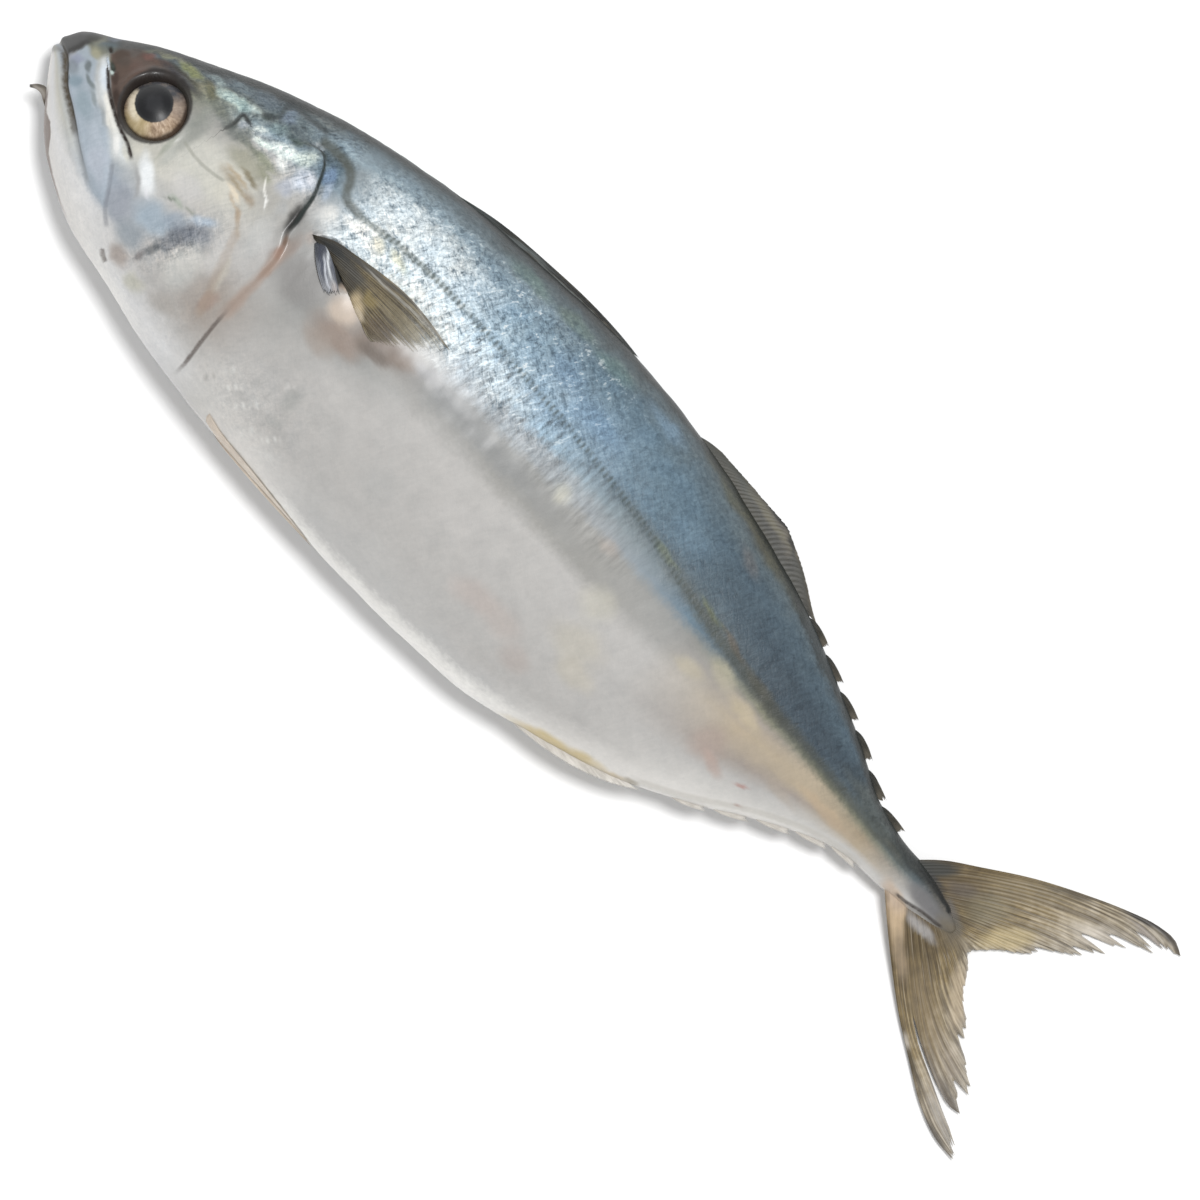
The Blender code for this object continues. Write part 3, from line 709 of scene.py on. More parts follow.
# Soft marks on the skin: x, y, half length, half width, lean in degrees, colour, strength.
HEAD_MARKS = [
    # crown and brow, with painted highlights of teal white above and behind the eye
    (9, 9.3, 6.5, 0.5, 32, (58, 57, 52), 0.8), (6.2, 7.1, 2.2, 0.5, 38, (122, 132, 144), 0.8),
    (3.7, 4.7, 1.5, 0.8, 50, (138, 138, 122), 0.7), (4.7, 3.1, 1.1, 0.8, 0, (168, 166, 142), 0.75),
    (12.6, 10.1, 3, 0.5, 30, (140, 140, 112), 0.85), (17.2, 11.4, 2.4, 0.8, 12, (126, 130, 88), 0.95),
    (14.8, 11.2, 1.2, 0.5, 20, (150, 150, 126), 0.8), (21.6, 11.2, 2.2, 1, -10, (104, 104, 80), 0.8),
    (24.8, 10.2, 2.6, 1, -5, (116, 120, 110), 0.8), (23.6, 6.5, 0.8, 3, 0, (146, 149, 140), 0.6),
    (23, 0.5, 0.5, 2.6, 0, (138, 146, 132), 0.6), (24.6, 12.6, 2.6, 0.8, 5, (186, 206, 202), 0.85),
    (21.5, 13.2, 1.8, 0.6, 15, (152, 168, 168), 0.7), (27, 13.4, 1.6, 0.9, 10, (172, 194, 190), 0.8),
    (25, 15.3, 3.2, 0.9, 15, (112, 126, 132), 0.6), (29.2, 16.4, 2.6, 1.5, 20, (98, 110, 118), 0.75),
    (33.4, 16.8, 1.3, 1.6, 0, (112, 128, 146), 0.75), (28.6, 14, 1.2, 0.6, 0, (196, 210, 206), 0.7),
    (29.1, 11.1, 0.8, 0.7, 0, (180, 186, 192), 0.8), (27.9, 11.4, 0.36, 1.5, -4, (52, 58, 56), 0.85),
    (28, 9.9, 0.7, 1.0, 8, (48, 54, 50), 0.9), (28.8, 12.2, 1, 0.32, -14, (56, 62, 58), 0.85),
    (30.6, 10.6, 1, 0.8, 0, (110, 116, 112), 0.75), (30.8, 14.5, 1.2, 0.45, 35, (56, 68, 64), 0.85),
    (31.6, 12.6, 1.5, 0.4, 40, (224, 234, 230), 0.8), (33.6, 14.6, 1.8, 0.9, 20, (122, 142, 144), 0.7),
    (36.8, 15, 1.5, 0.7, 10, (62, 76, 70), 0.85), (38.6, 16, 1.4, 0.4, 15, (70, 80, 74), 0.8),
    (35.6, 17.8, 2.6, 0.9, 10, (104, 118, 122), 0.6), (39.6, 17.4, 1.2, 0.5, 20, (172, 180, 186), 0.7),
    (37.4, 20, 4, 0.8, 14, (112, 120, 120), 0.5),
    # the gill cover, its shine painted on as white highlights
    (36.4, 12.6, 2.6, 1.2, 15, (242, 250, 244), 0.95), (33.4, 11.3, 1.9, 0.7, 8, (236, 246, 237), 0.9),
    (39.8, 13.8, 2, 1.4, 40, (228, 238, 228), 0.85), (37.8, 10.9, 1.6, 0.8, -20, (244, 246, 242), 0.85),
    (42.2, 11.6, 1.6, 2.2, -20, (212, 219, 230), 0.8), (40.8, 8.8, 1.5, 1.7, -30, (182, 188, 200), 0.8),
    (42.4, 6, 1.2, 1.6, 20, (176, 178, 178), 0.6), (35, 9.4, 3.3, 0.8, 0, (140, 144, 124), 0.9),
    (31.4, 9.4, 2.4, 0.8, -5, (116, 120, 110), 0.8), (36.6, 8.1, 2.2, 0.6, -10, (152, 156, 134), 0.8),
    (40.9, 16.6, 1.3, 0.5, -5, (32, 44, 38), 0.95), (44.3, 15, 1.1, 2, 35, (118, 139, 165), 0.85),
    (45.7, 12.8, 0.7, 1.8, 15, (168, 182, 198), 0.8),
    # the cheek, with painted highlights below the eye and on its blue patch
    (28.2, 2, 4.6, 5, 0, (206, 206, 198), 0.6), (24.4, 4.8, 1.5, 4.6, 0, (144, 147, 141), 0.7),
    (24.2, -0.4, 1.2, 2.2, 0, (176, 179, 173), 0.6), (28.4, 9.4, 2.6, 1.2, 0, (104, 110, 106), 0.75),
    (34, 7.4, 4.4, 1.8, 0, (150, 149, 131), 0.75), (40, 5.6, 1.8, 2.8, 0, (168, 166, 160), 0.7),
    (34.4, 3.8, 4, 1, -4, (168, 158, 140), 0.6), (47.6, 1, 1.4, 4.4, 0, (152, 137, 128), 0.75),
    (30, -2, 3.4, 2.2, 0, (208, 206, 206), 0.5), (35.8, 6, 2.3, 0.42, -8, (124, 114, 88), 0.85),
    (38.3, 6.6, 1.8, 0.25, -48, (248, 246, 238), 0.9), (39.9, 5, 1.5, 0.22, -48, (244, 244, 240), 0.85),
    (34.5, 4.8, 2.8, 0.42, -4, (174, 157, 130), 0.8),
    (35.5, 3.7, 3.2, 0.36, -10, (156, 141, 114), 0.75), (38, 3.4, 1.4, 0.6, -42, (156, 141, 122), 0.7),
    (35.6, 2.5, 2.2, 0.5, -12, (230, 216, 192), 0.8),
    (36.8, 1.3, 2.4, 0.36, -22, (184, 167, 144), 0.75),
    (38.7, 0.4, 1.6, 0.5, -48, (168, 147, 122), 0.75),
    (40.2, -1.3, 1.4, 0.5, -58, (176, 162, 144), 0.6), (43.2, 0, 2, 4.2, 8, (191, 192, 190), 0.65),
    (24, -4.9, 3.8, 1.4, -42, (246, 250, 252), 0.85), (23.6, -6.8, 2.8, 0.5, -40, (164, 164, 164), 0.7),
    (26.2, -7.2, 1.2, 0.3, -40, (230, 230, 234), 0.7), (30.2, -4.9, 1.9, 0.5, 2, (166, 176, 162), 0.7),
    (29, -5.2, 0.9, 0.25, 20, (88, 98, 82), 0.7), (33, -4.2, 1.4, 0.3, 5, (112, 122, 104), 0.5),
    (29.4, -9.2, 3.4, 2.8, 0, (163, 179, 192), 0.85), (24, -11, 3.2, 2.4, -35, (156, 161, 171), 0.7),
    (28.4, -13.6, 2.7, 2.2, -20, (149, 159, 167), 0.7), (32.4, -7, 2.2, 1.8, 30, (150, 164, 178), 0.7),
    (35.4, -4, 2.6, 1.1, 38, (170, 185, 200), 0.8), (35.2, -4.5, 0.9, 0.2, -35, (234, 238, 242), 0.7),
    (36.2, -6.2, 2.6, 2, 28, (118, 124, 134), 0.8), (34.4, -8, 2.4, 2, 32, (116, 121, 130), 0.8),
    (33.5, -10.2, 1.6, 2.2, -6, (120, 124, 130), 0.8),
    (32.8, -12.6, 0.8, 1.5, -10, (102, 106, 108), 0.8),
    (32, -14.9, 0.7, 1.3, -15, (116, 112, 112), 0.8), (29.6, -17, 2.2, 1.3, -10, (162, 149, 140), 0.75),
    (34, -18.2, 2.1, 1.4, 0, (191, 189, 168), 0.6), (39.5, -17.6, 3.2, 1.6, 10, (174, 168, 161), 0.6),
    (38, -11, 3, 4.6, 0, (206, 207, 203), 0.7), (40.6, -6.4, 1.8, 3.4, 10, (206, 205, 202), 0.6),
    # the gill slit, dark with painted shade under the cover's edge, and the folds behind it
    (44.9, 6.6, 1.1, 3, 10, (62, 60, 56), 0.85), (45.3, 6.2, 0.75, 2.6, 12, (32, 30, 28), 0.95),
    (44.6, 9.6, 0.6, 1.4, 10, (92, 96, 96), 0.7), (46.5, 3.2, 0.6, 1.1, 25, (112, 86, 68), 0.85),
    (47.1, 0.9, 0.6, 1.9, 20, (150, 113, 95), 0.85), (47.7, -2.8, 0.7, 2.4, 4, (162, 136, 120), 0.7),
    (48.1, -8.5, 1, 4.4, 0, (178, 162, 151), 0.6), (44.6, -12.2, 1.1, 2.3, -8, (162, 141, 129), 0.75),
    (43.3, -7.4, 0.8, 3.6, 20, (197, 191, 179), 0.65),
    # snout
    (0.9, 2.6, 1.4, 2.3, -25, (76, 76, 76), 0.95), (2.1, 1.3, 0.6, 2.6, -12, (54, 53, 52), 0.9),
    (2.8, 4.5, 1.7, 0.8, 45, (64, 64, 60), 0.9), (0.9, 0.1, 1.1, 0.4, -20, (84, 82, 78), 0.85),
    (-0.4, -1, 0.8, 0.9, 0, (150, 150, 146), 0.8), (3.6, 0.2, 1, 1.3, -30, (150, 156, 174), 0.85),
    (3.2, -1.6, 0.9, 0.5, -50, (62, 68, 76), 0.85), (5.6, 0.8, 1.2, 0.5, -30, (96, 104, 104), 0.8),
    (7.4, -0.9, 1.4, 0.4, -35, (102, 112, 110), 0.75), (5.6, -2.2, 1.2, 1.2, -40, (130, 149, 160), 0.8),
    (4, -0.8, 1.2, 1, -40, (126, 134, 140), 0.7), (4.6, -2.9, 0.9, 0.35, -50, (80, 92, 100), 0.8),
    (9.6, -2.6, 1.9, 0.4, -25, (132, 140, 140), 0.7),
    (12.8, -3.4, 1.9, 0.4, -22, (144, 150, 152), 0.65), (9, -4.2, 2.8, 1.3, -32, (148, 164, 173), 0.8),
    (14.4, -6.8, 3.4, 1.4, -36, (187, 197, 207), 0.75),
    (17.5, -9, 3.4, 1.6, -40, (192, 199, 210), 0.75),
    # nostrils with painted highlights, eyelids and the strip under them
    (8.3, 1.2, 2.6, 0.75, -50, (222, 231, 240), 0.9), (13, -2.2, 4.2, 0.75, -28, (238, 236, 228), 0.9),
    (17.2, -5, 1.9, 0.6, -48, (243, 243, 240), 0.85),
    (19.4, -5.1, 1.6, 0.5, -32, (206, 206, 196), 0.75), (8.3, 7.5, 1.8, 0.9, 35, (92, 88, 84), 0.7),
    (11.2, 8.3, 1.2, 0.5, 20, (114, 82, 75), 0.8), (10.8, 5.6, 1.6, 1.8, 0, (98, 78, 70), 0.6),
    (8, 5.4, 1.6, 1.5, 30, (74, 64, 56), 0.7), (12, 0.2, 1.8, 0.8, -40, (50, 35, 27), 0.85),
    (9.5, 2.2, 1.4, 0.6, -48, (60, 44, 36), 0.8), (17, 9.4, 4.6, 0.8, 0, (54, 54, 58), 0.9),
    (13.5, 7.7, 1.8, 0.9, 50, (48, 45, 44), 0.85), (17, 10.2, 3.4, 0.3, 3, (46, 42, 34), 0.8),
    (14.2, -1.1, 2.6, 0.6, -36, (72, 53, 43), 0.8), (6, 4.9, 0.5, 0.5, 0, (38, 30, 22), 0.95),
    (8, 3.2, 0.9, 0.45, -45, (42, 54, 46), 0.95), (7, 3.3, 0.8, 0.24, -48, (210, 224, 238), 0.9),
    (8.6, 2.5, 0.5, 0.3, -30, (216, 234, 228), 0.85),
]
TRUNK_MARKS = [
    # shoulder and the fold of the pectoral fin: painted highlights on the silver above it, and brown
    # flesh under it, darker along the fin's edge with painted shade
    (52.5, 12.3, 2.7, 1, -5, (240, 240, 236), 0.85), (57, 11.5, 2.4, 0.8, -12, (236, 236, 230), 0.8),
    (57.4, 12.6, 1.8, 1, -20, (204, 200, 180), 0.75), (61.5, 13, 2.5, 0.9, -15, (216, 213, 186), 0.75),
    (66, 11.8, 3, 0.9, 0, (238, 238, 232), 0.7), (48.2, 10.6, 1.5, 1.8, 0, (228, 228, 224), 0.75),
    (48.8, 6, 1.2, 1.3, 0, (174, 163, 155), 0.7), (49.6, 7.2, 1.3, 0.4, 20, (60, 60, 58), 0.7),
    (52.8, 0.4, 5.4, 4.6, 0, (134, 132, 130), 0.85), (60.8, 1.6, 2.8, 2.4, 0, (200, 182, 164), 0.85),
    (69, 1.6, 6.4, 2.2, 14, (118, 102, 90), 0.8), (62.8, -2, 5.4, 2.4, 0, (146, 126, 112), 0.75),
    (58.3, 4.8, 0.9, 1.3, -20, (200, 180, 162), 0.8), (61, -4.6, 3.4, 1.6, -10, (158, 144, 133), 0.6),
    (68.6, 0.2, 3.4, 1.2, 10, (100, 88, 78), 0.8), (73, 2.6, 2.8, 1.2, 25, (126, 112, 100), 0.7),
    (76.4, 4, 3, 1.2, 10, (120, 121, 124), 0.7),
    # folds of the belly, darker along them, and painted glints on it
    (64.6, -14.2, 1.4, 2.2, 0, (168, 169, 166), 0.6), (62.8, -13.2, 1.2, 0.3, 60, (214, 212, 209), 0.6),
    (57, -19, 2, 0.26, 50, (230, 230, 226), 0.7), (59.6, -20.4, 1.8, 0.26, 55, (230, 230, 226), 0.7),
    (61.4, -18.4, 1.5, 0.24, 48, (228, 228, 224), 0.7),
    (55, -17.4, 1.4, 0.24, 52, (226, 226, 222), 0.6),
    (66.4, -20.8, 1.7, 0.26, 45, (230, 230, 226), 0.7),
    (68, -22.8, 1.4, 0.24, 40, (230, 230, 226), 0.6),
    (63.4, -22.2, 1.5, 0.24, 58, (228, 228, 224), 0.6), (53, -20.6, 1.5, 0.3, 60, (160, 158, 154), 0.5),
    (65.4, -18.6, 1.4, 0.6, 50, (164, 165, 162), 0.5), (58.4, -16, 2, 0.5, 48, (172, 171, 168), 0.5),
    (106, -15.4, 4.4, 2.2, 15, (190, 176, 169), 0.45), (112, -15.4, 4.4, 2.6, 0, (188, 176, 169), 0.45),
    (117.6, -18.2, 3, 2.2, 10, (182, 169, 162), 0.45), (123, -9.5, 5, 3.4, 10, (198, 191, 172), 0.4),
    (126, -13.2, 4, 2.2, 0, (200, 192, 172), 0.4), (121, -3, 3.2, 3, 0, (197, 193, 176), 0.45),
    (105, 5.5, 1.8, 1.8, 0, (186, 182, 162), 0.45), (116, 4.5, 2.2, 1.4, 0, (178, 165, 155), 0.4),
    (84, -14, 3, 3.4, 20, (180, 180, 178), 0.45), (96, -9, 5, 3, -10, (200, 197, 194), 0.35),
    # the blue back
    (78, 25.7, 5, 1.2, 0, (106, 130, 122), 0.5), (88, 25.9, 4.4, 1.1, 0, (110, 128, 116), 0.5),
    (97, 25.2, 4.4, 1.2, 0, (108, 134, 128), 0.45), (92, 19.5, 4, 2.6, -15, (112, 141, 168), 0.5),
    (101, 17, 6, 2, -5, (114, 144, 171), 0.45), (109, 24.4, 4.6, 1.3, -8, (120, 146, 166), 0.6),
    (75, 22.4, 6, 1.5, -3, (116, 138, 152), 0.55), (112, 16, 4, 3, -10, (100, 122, 136), 0.5),
    (133, 18.4, 3.2, 1.1, -20, (103, 99, 97), 0.5), (124, 15, 4, 2, -10, (108, 134, 152), 0.4),
    (134.6, 8.7, 3.4, 0.6, -12, (106, 112, 80), 0.7), (140.6, 7.4, 3.8, 0.6, -14, (96, 86, 72), 0.7),
    (147.4, 5.9, 3.6, 0.8, -8, (80, 78, 68), 0.7), (123, 9.9, 3, 0.6, -10, (112, 122, 94), 0.6),
    # the pale rear of the belly
    (142.4, 3.1, 3, 1.6, -20, (192, 184, 156), 0.5), (149, 1.4, 4.2, 1.2, -8, (198, 184, 153), 0.6),
    (138, 0.2, 3.2, 1.4, 10, (197, 187, 162), 0.5), (148.4, -6, 3, 3.2, -20, (176, 158, 148), 0.55),
    (151, -7.8, 2.6, 1, -20, (184, 161, 150), 0.6), (157, -7.4, 1.2, 0.3, 30, (174, 116, 104), 0.6),
    (158.8, -10, 0.9, 0.25, 30, (170, 114, 100), 0.6), (161, -3.6, 5, 1, -5, (174, 163, 150), 0.5),
    (169, -0.8, 6, 1, 0, (189, 168, 141), 0.6), (132, -23, 9.6, 1, 17.5, (215, 196, 146), 0.95),
    (141.6, -20.1, 2.2, 0.5, 20, (208, 191, 158), 0.7),
    (144, -18.9, 1.1, 0.5, 25, (148, 136, 110), 0.7),
    # the dark base of the second dorsal fin
    (124, 24.4, 9, 1.3, -14, (86, 86, 70), 0.8), (134, 21.7, 7, 1.5, -17, (78, 77, 62), 0.85),
    (142, 19.6, 4.5, 1.2, -24, (62, 64, 56), 0.85),
]
TAIL_MARKS = [
    (176, 4.6, 9, 1.4, -9, (88, 95, 94), 0.75), (184, 3.4, 5, 1.3, -4, (58, 62, 61), 0.9),
    (180, 2.2, 6, 0.6, -6, (84, 84, 76), 0.6), (187.4, 5, 4.2, 1.7, 38, (62, 64, 62), 0.92),
    (189.4, 3.4, 2.4, 0.7, -16, (58, 60, 62), 0.8), (193, 5.6, 3, 1.4, 30, (100, 92, 84), 0.7),
    (193.4, 2.6, 2, 0.8, -26, (108, 104, 100), 0.8), (189, -5.1, 4.2, 1.6, -40, (212, 188, 156), 0.85),
    (193.4, -8.4, 4, 1.1, -40, (168, 150, 126), 0.7), (186, -2.6, 3, 1.2, -20, (204, 184, 164), 0.85),
    (192.4, -3.1, 3.6, 1, -6, (182, 180, 180), 0.7), (190.6, 0, 4.6, 1.5, -6, (119, 118, 119), 0.9),
    (195.4, 0.4, 2.6, 1.8, 0, (114, 112, 108), 0.85), (197, -0.6, 3.4, 2.2, 0, (116, 106, 88), 0.75),
    (197.6, 6, 4, 3, 40, (132, 124, 100), 0.5), (200, 12.6, 9, 2.4, 33, (130, 116, 88), 0.55),
    (203, -12.4, 9, 2.4, -35, (130, 114, 88), 0.55), (203.4, 5, 5.2, 1.9, 52, (192, 174, 130), 0.75),
    (204.6, -6.8, 5.4, 1.7, -52, (190, 172, 144), 0.7), (213, 15.6, 5, 2, 30, (200, 192, 180), 0.6),
    (211, -15, 3.4, 1.4, -35, (166, 152, 132), 0.5), (212, -19, 6.4, 1.1, -26, (124, 114, 102), 0.75),
    (217.6, 22.6, 6.6, 0.75, 14, (50, 45, 40), 0.98), (206.4, 18, 7, 0.55, 30, (96, 88, 74), 0.8),
    (216.5, -24.6, 6.4, 0.8, -15, (86, 80, 72), 0.9), (206, -19, 7, 0.6, -30, (88, 78, 60), 0.8),
    (215, -19.2, 4, 0.6, -20, (96, 88, 78), 0.85), (219, 21, 4, 0.7, 6, (162, 153, 146), 0.8),
    (222.4, 23, 2.4, 0.6, -14, (72, 66, 58), 0.9), (216, -22.2, 5, 0.9, -22, (176, 170, 162), 0.6),
    (203.6, -17.4, 1.1, 0.5, -30, (214, 206, 194), 0.7),
]


def painted(x, y, marks, plates=()):
    """The tint of the plates and of the marks laid over them, and how far they cover the skin.

    The tint is already weighed by its cover.
    """
    spots = np.stack([x, y, 0 * x], -1)
    stray_x = 0.4 * lumps(spots, 2.3, 7) + 0.2 * lumps(spots, 0.9, 8)
    stray_y = 0.4 * lumps(spots, 2.3, 9) + 0.2 * lumps(spots, 0.9, 10)
    tint = np.zeros((*x.shape, 3))
    cover = np.zeros(x.shape)

    def lay(spot, colour):
        nonlocal tint, cover
        tint = tint * (1 - spot[..., None]) + spot[..., None] * np.array(pigment(*colour)[:3])
        cover = cover * (1 - spot) + spot

    for distance, colour, strength, soft in plates:
        lay(strength * ease(soft, -soft, distance + 0.6 * stray_x), colour)
    for mark_x, mark_y, long, wide, lean, colour, strength in marks:
        turn = math.radians(lean)
        dx = x + stray_x * min(1, long) - mark_x
        dy = y + stray_y * min(1, 2 * wide) - mark_y
        along = (dx * math.cos(turn) + dy * math.sin(turn)) / long
        across = (dy * math.cos(turn) - dx * math.sin(turn)) / wide
        lay(strength * ease(1.3, 0.4, np.hypot(along, across)), colour)
    return {"tint": tint, "cover": cover}


def flank_colour(skin, x, share):
    """The colours of the flank at each station, blended along the fish."""
    colour = None
    for station, stops in FLANK:
        low, high = float(belly_edge(station)), float(back_edge(station))
        stops = sorted(((y - low) / (high - low), shade) for y, shade in stops)
        here = skin.ramp(share, stops)
        colour = here if colour is None else skin.blend((x - before) / (station - before), colour, here)
        before = station
    return colour


LINE_FADE = 0.08  # of the line's length, at each of its ends
# Lines drawn on the skin: name, half width, colour, strength, and the stretch that shows.
DRAWN_LINES = [
    ("under_eye", 0.5, pigment(40, 30, 24), 0.95, -0.08, 1),
    ("mouth", 0.85, pigment(84, 76, 62), 0.95, 0.06, 0.68),
    ("mouth", 0.6, pigment(140, 144, 146), 0.45, 0.5, 1),
    ("jaw_plate", 0.55, pigment(126, 130, 138), 0.5, 0, 1),
    ("cheek_notch", 0.5, INK, 0.6, -0.08, 1.08),
    ("cheek_seam", 0.45, pigment(146, 147, 136), 0.5, 0, 1),
    ("brow", 0.65, pigment(48, 56, 58), 0.65, 0, 1),
    ("inner_gill", 1.1, pigment(168, 152, 136), 0.4, 0, 1),
    ("shoulder", 1.2, pigment(80, 82, 72), 0.7, 0, 1),
    ("jaw_corner", 0.6, pigment(98, 88, 80), 0.7, 0, 1),
    # painted shade in the slit under the upper edge of the gill cover
    ("gill", 0.5, pigment(40, 50, 48), 0.95, 0.06, 0.4),
    ("gill", 1.4, pigment(160, 138, 124), 0.5, 0.4, 0.78),
    ("gill", 0.5, pigment(96, 86, 80), 0.8, 0.7, 1),
    ("upper_keel", 0.55, INK, 0.95, 0, 1),
    ("lower_keel", 0.42, pigment(68, 62, 58), 0.85, 0, 1),
    ("belly_hem", 0.8, pigment(180, 176, 164), 0.35, 0, 1),
]


def draw_line(skin, colour, ragged, name, wide, shade, strength, start, end):
    """Draws one of the lines on the skin, ragged and fading out at its ends."""
    side, along, _ = skin.fields(name)
    mark = (side + ragged * min(wide, 0.6) * 0.5).size().ease(wide, wide * 0.2)
    mark = mark * along.ease(start, start + LINE_FADE) * along.ease(end, end - LINE_FADE)
    return skin.blend(mark * (ragged * 0.7 + 1).least(1.15) * strength, colour, shade)


def skin_finish():
    skin = Finish("wet_skin", {"Coat Roughness": 0.2, "Specular IOR Level": 0.3})
    spot = skin.place()
    x = skin.node("ShaderNodeSeparateXYZ", None, (spot,), 0) + (DRAWN_MIDDLE[0] - MIDDLE.x / MM)
    share = skin.field("share")
    from_back = skin.field("from_back")
    from_belly = skin.field("from_belly")
    lively = skin.field("lively")
    silver = skin.field("silver")
    lateral, _, _ = skin.fields("lateral")

    wander = skin.grain(spot, 0.22, 3) - 0.5
    ragged = skin.grain(spot, 1.3, 3, 0.6) - 0.5
    rising = skin.grain(skin.turned(spot, 62, 0.42, 1.7), 1.0, 3, 0.6, 0.7) - 0.5
    falling = skin.grain(skin.turned(spot, -38, 0.5, 1.8), 1.0, 3, 0.6, 0.9) - 0.5
    patches = skin.grain(spot, 0.42, 4, 0.65) - 0.5
    specks = skin.grain(spot, 2.6, 2) - 0.5
    upright = skin.grain(skin.turned(spot, 84, 0.24, 1.25), 1.0, 3, 0.6) - 0.5

    colour = flank_colour(skin, x, share + wander * 0.04 + ragged * 0.03 + upright * silver * 0.06)
    colour = skin.overpainted(colour)

    # Grain of the skin: scratches, patches and specks
    grain = rising * 2.3 + falling * 1.6 + patches * 0.9 + specks * 0.5
    stripes = upright * skin.field("striped") * 1.8
    shade = (grain * lively + stripes + patches * 0.14 + wander * 0.16 + 1.0).most(0.12)
    colour = skin.scaled(colour, shade)
    hue = (falling * 0.8 + wander * 0.7 + rising * 0.5 - 0.05) * lively
    cast = skin.join(1 + hue * 0.4, 1 + hue * 0.07, 1 - hue * 0.22)
    colour = skin.vector_sum("MULTIPLY", colour, cast)
    # painted glints and dark painted reflections scattered over the silver band, as on crumpled foil
    painted_glints = (rising + patches).ease(0.12, 0.28) * silver
    colour = skin.blend(painted_glints * 0.7, colour, GLINT_WHITE)
    dark_reflections = (falling + patches).ease(-0.1, -0.26) * silver
    colour = skin.blend(dark_reflections * 0.5, colour, pigment(92, 114, 128))

    # The rim of the eye and the lines of the head and the tail
    eye_rim = (skin.field("from_eye") + ragged * 0.3).ease(6.0, 5.5)
    colour = skin.blend(eye_rim * 0.9, colour, pigment(42, 38, 36))
    for line in DRAWN_LINES:
        colour = draw_line(skin, colour, ragged, *line)

    # The lateral line: a row of dark dashes, one to a scale, then the hem of the blue back
    beat = (x * (2 * math.pi / SCALE_STEP) + ragged * 2.5).sum("SINE")
    dash = (lateral + ragged * 1.1).size().ease(0.95, 0.25) * (beat * 0.45 + 0.5)
    dash = dash * x.ease(50, 56) * x.ease(150, 132)
    colour = skin.blend(dash * (patches * 3.5 + 0.75).least(1) * 0.8, colour, pigment(58, 70, 68))
    thread = (lateral + ragged * 0.8).size().ease(0.7, 0.2) * x.ease(51, 53) * x.ease(82, 62)
    colour = skin.blend(thread * 0.5, colour, pigment(96, 104, 96))
    back_hem = (lateral + ragged * 1.5).size().ease(1.8, 0.2) * x.ease(118, 136) * x.ease(186, 172)
    colour = skin.blend(back_hem * 0.6, colour, pigment(74, 76, 66))

    # A brown hem along the far side of the jaw
    hem_width = x.ease(5.4, 7.4) * x.ease(10.6, 8.4) * 0.9 - x.ease(10, 14) * 0.3
    jaw_hem = (from_belly - hem_width + ragged * 0.3).ease(0.75, 0.4) * x.ease(3, 4) * x.ease(22, 14)
    colour = skin.blend(jaw_hem * 0.9, colour, pigment(118, 100, 90))

    # The dark ridge of the back
    ridge_width = x.ease(140, 146) * x.ease(160, 150) * 0.9 + x.ease(52, 40) * 0.3
    ridge = (from_back - ridge_width + ragged * 1.6 + patches).ease(1.4, 0.3)
    ridge = ridge * x.ease(2, 10) * x.ease(191, 185) * share.ease(0.6, 0.8)
    colour = skin.blend(ridge * 0.8, colour, pigment(44, 48, 47))

    skin.send("Base Color", colour)
    skin.send("Metallic", silver * 0.15)
    skin.send("Roughness", patches * 0.3 + 0.46)
    skin.send("Coat Weight", from_back.ease(0, 5) * 0.16 + 0.02)
    skin.bump((rising + falling + specks) * (lively * 0.7 + 0.03), 0.5, 0.0003)
    return skin


# ---------------------------------------------------------------------------------------------
# The eyes
# ---------------------------------------------------------------------------------------------
EYE_RINGS = 40
EYE_CORNERS = 96
CORNEA = 0.3  # how far the clear front stands out before the pupil
IRIS_STOPS = [(0.3, pigment(140, 118, 96)), (0.5, pigment(184, 160, 136)), (0.7, pigment(220, 200, 176))]


def eye_finish():
    wet = {"Roughness": 0.4, "Coat Weight": 0.12, "Coat Roughness": 0.3, "Specular IOR Level": 0.25}
    eye = Finish("wet_eye", wet)
    from_pupil = eye.field("from_pupil")
    from_iris = eye.field("from_iris")
    right, up, _ = eye.fields("around")
    spot = eye.place()
    fibres = eye.grain(eye.join(right * 5, up * 5, from_pupil * 0.6), 1.5, 3, 0.6)
    patches = eye.grain(spot, 0.9, 3, 0.55)
    gold = eye.ramp(fibres, IRIS_STOPS)
    gold = eye.blend((up * -1).ease(0.7, 1) * 0.7, gold, pigment(190, 174, 130))
    # painted shade: the top of the iris greyed and its upper left darkened under the brow
    gold = eye.blend((right * 0.6 + up * 0.8).ease(0.5, 0.95) * 0.6, gold, pigment(140, 130, 124))
    shade = (up * 0.83 + right * -0.56).ease(0.05, 0.6)
    gold = eye.blend(shade * (patches * 1.2 + 0.35).least(1), gold, pigment(62, 63, 68))
    pale = (right * -0.66 + up * -0.75).ease(0.6, 0.92) * from_pupil.ease(4.6, 3.6)
    gold = eye.blend(pale * (fibres + 0.3).least(0.9), gold, pigment(238, 228, 204))
    ring = from_iris + (patches - 0.5) * 0.5
    colour = eye.blend(ring.ease(4.3, 4.9) * 0.85, gold, pigment(62, 48, 40))
    cloud = (from_pupil + (patches - 0.5) * 1.6).ease(1.9, 0.8)
    pupil = eye.blend(cloud, pigment(26, 27, 30), pigment(44, 45, 48))
    pupil = eye.blend(from_pupil.ease(2.4, 2.9) * 0.6, pupil, pigment(50, 52, 54))
    colour = eye.blend((from_pupil + (fibres - 0.5) * 0.3).ease(3.2, 2.9), colour, pupil)
    eye.send("Base Color", colour)
    eye.bump(fibres, 0.12, 0.0002)
    return eye


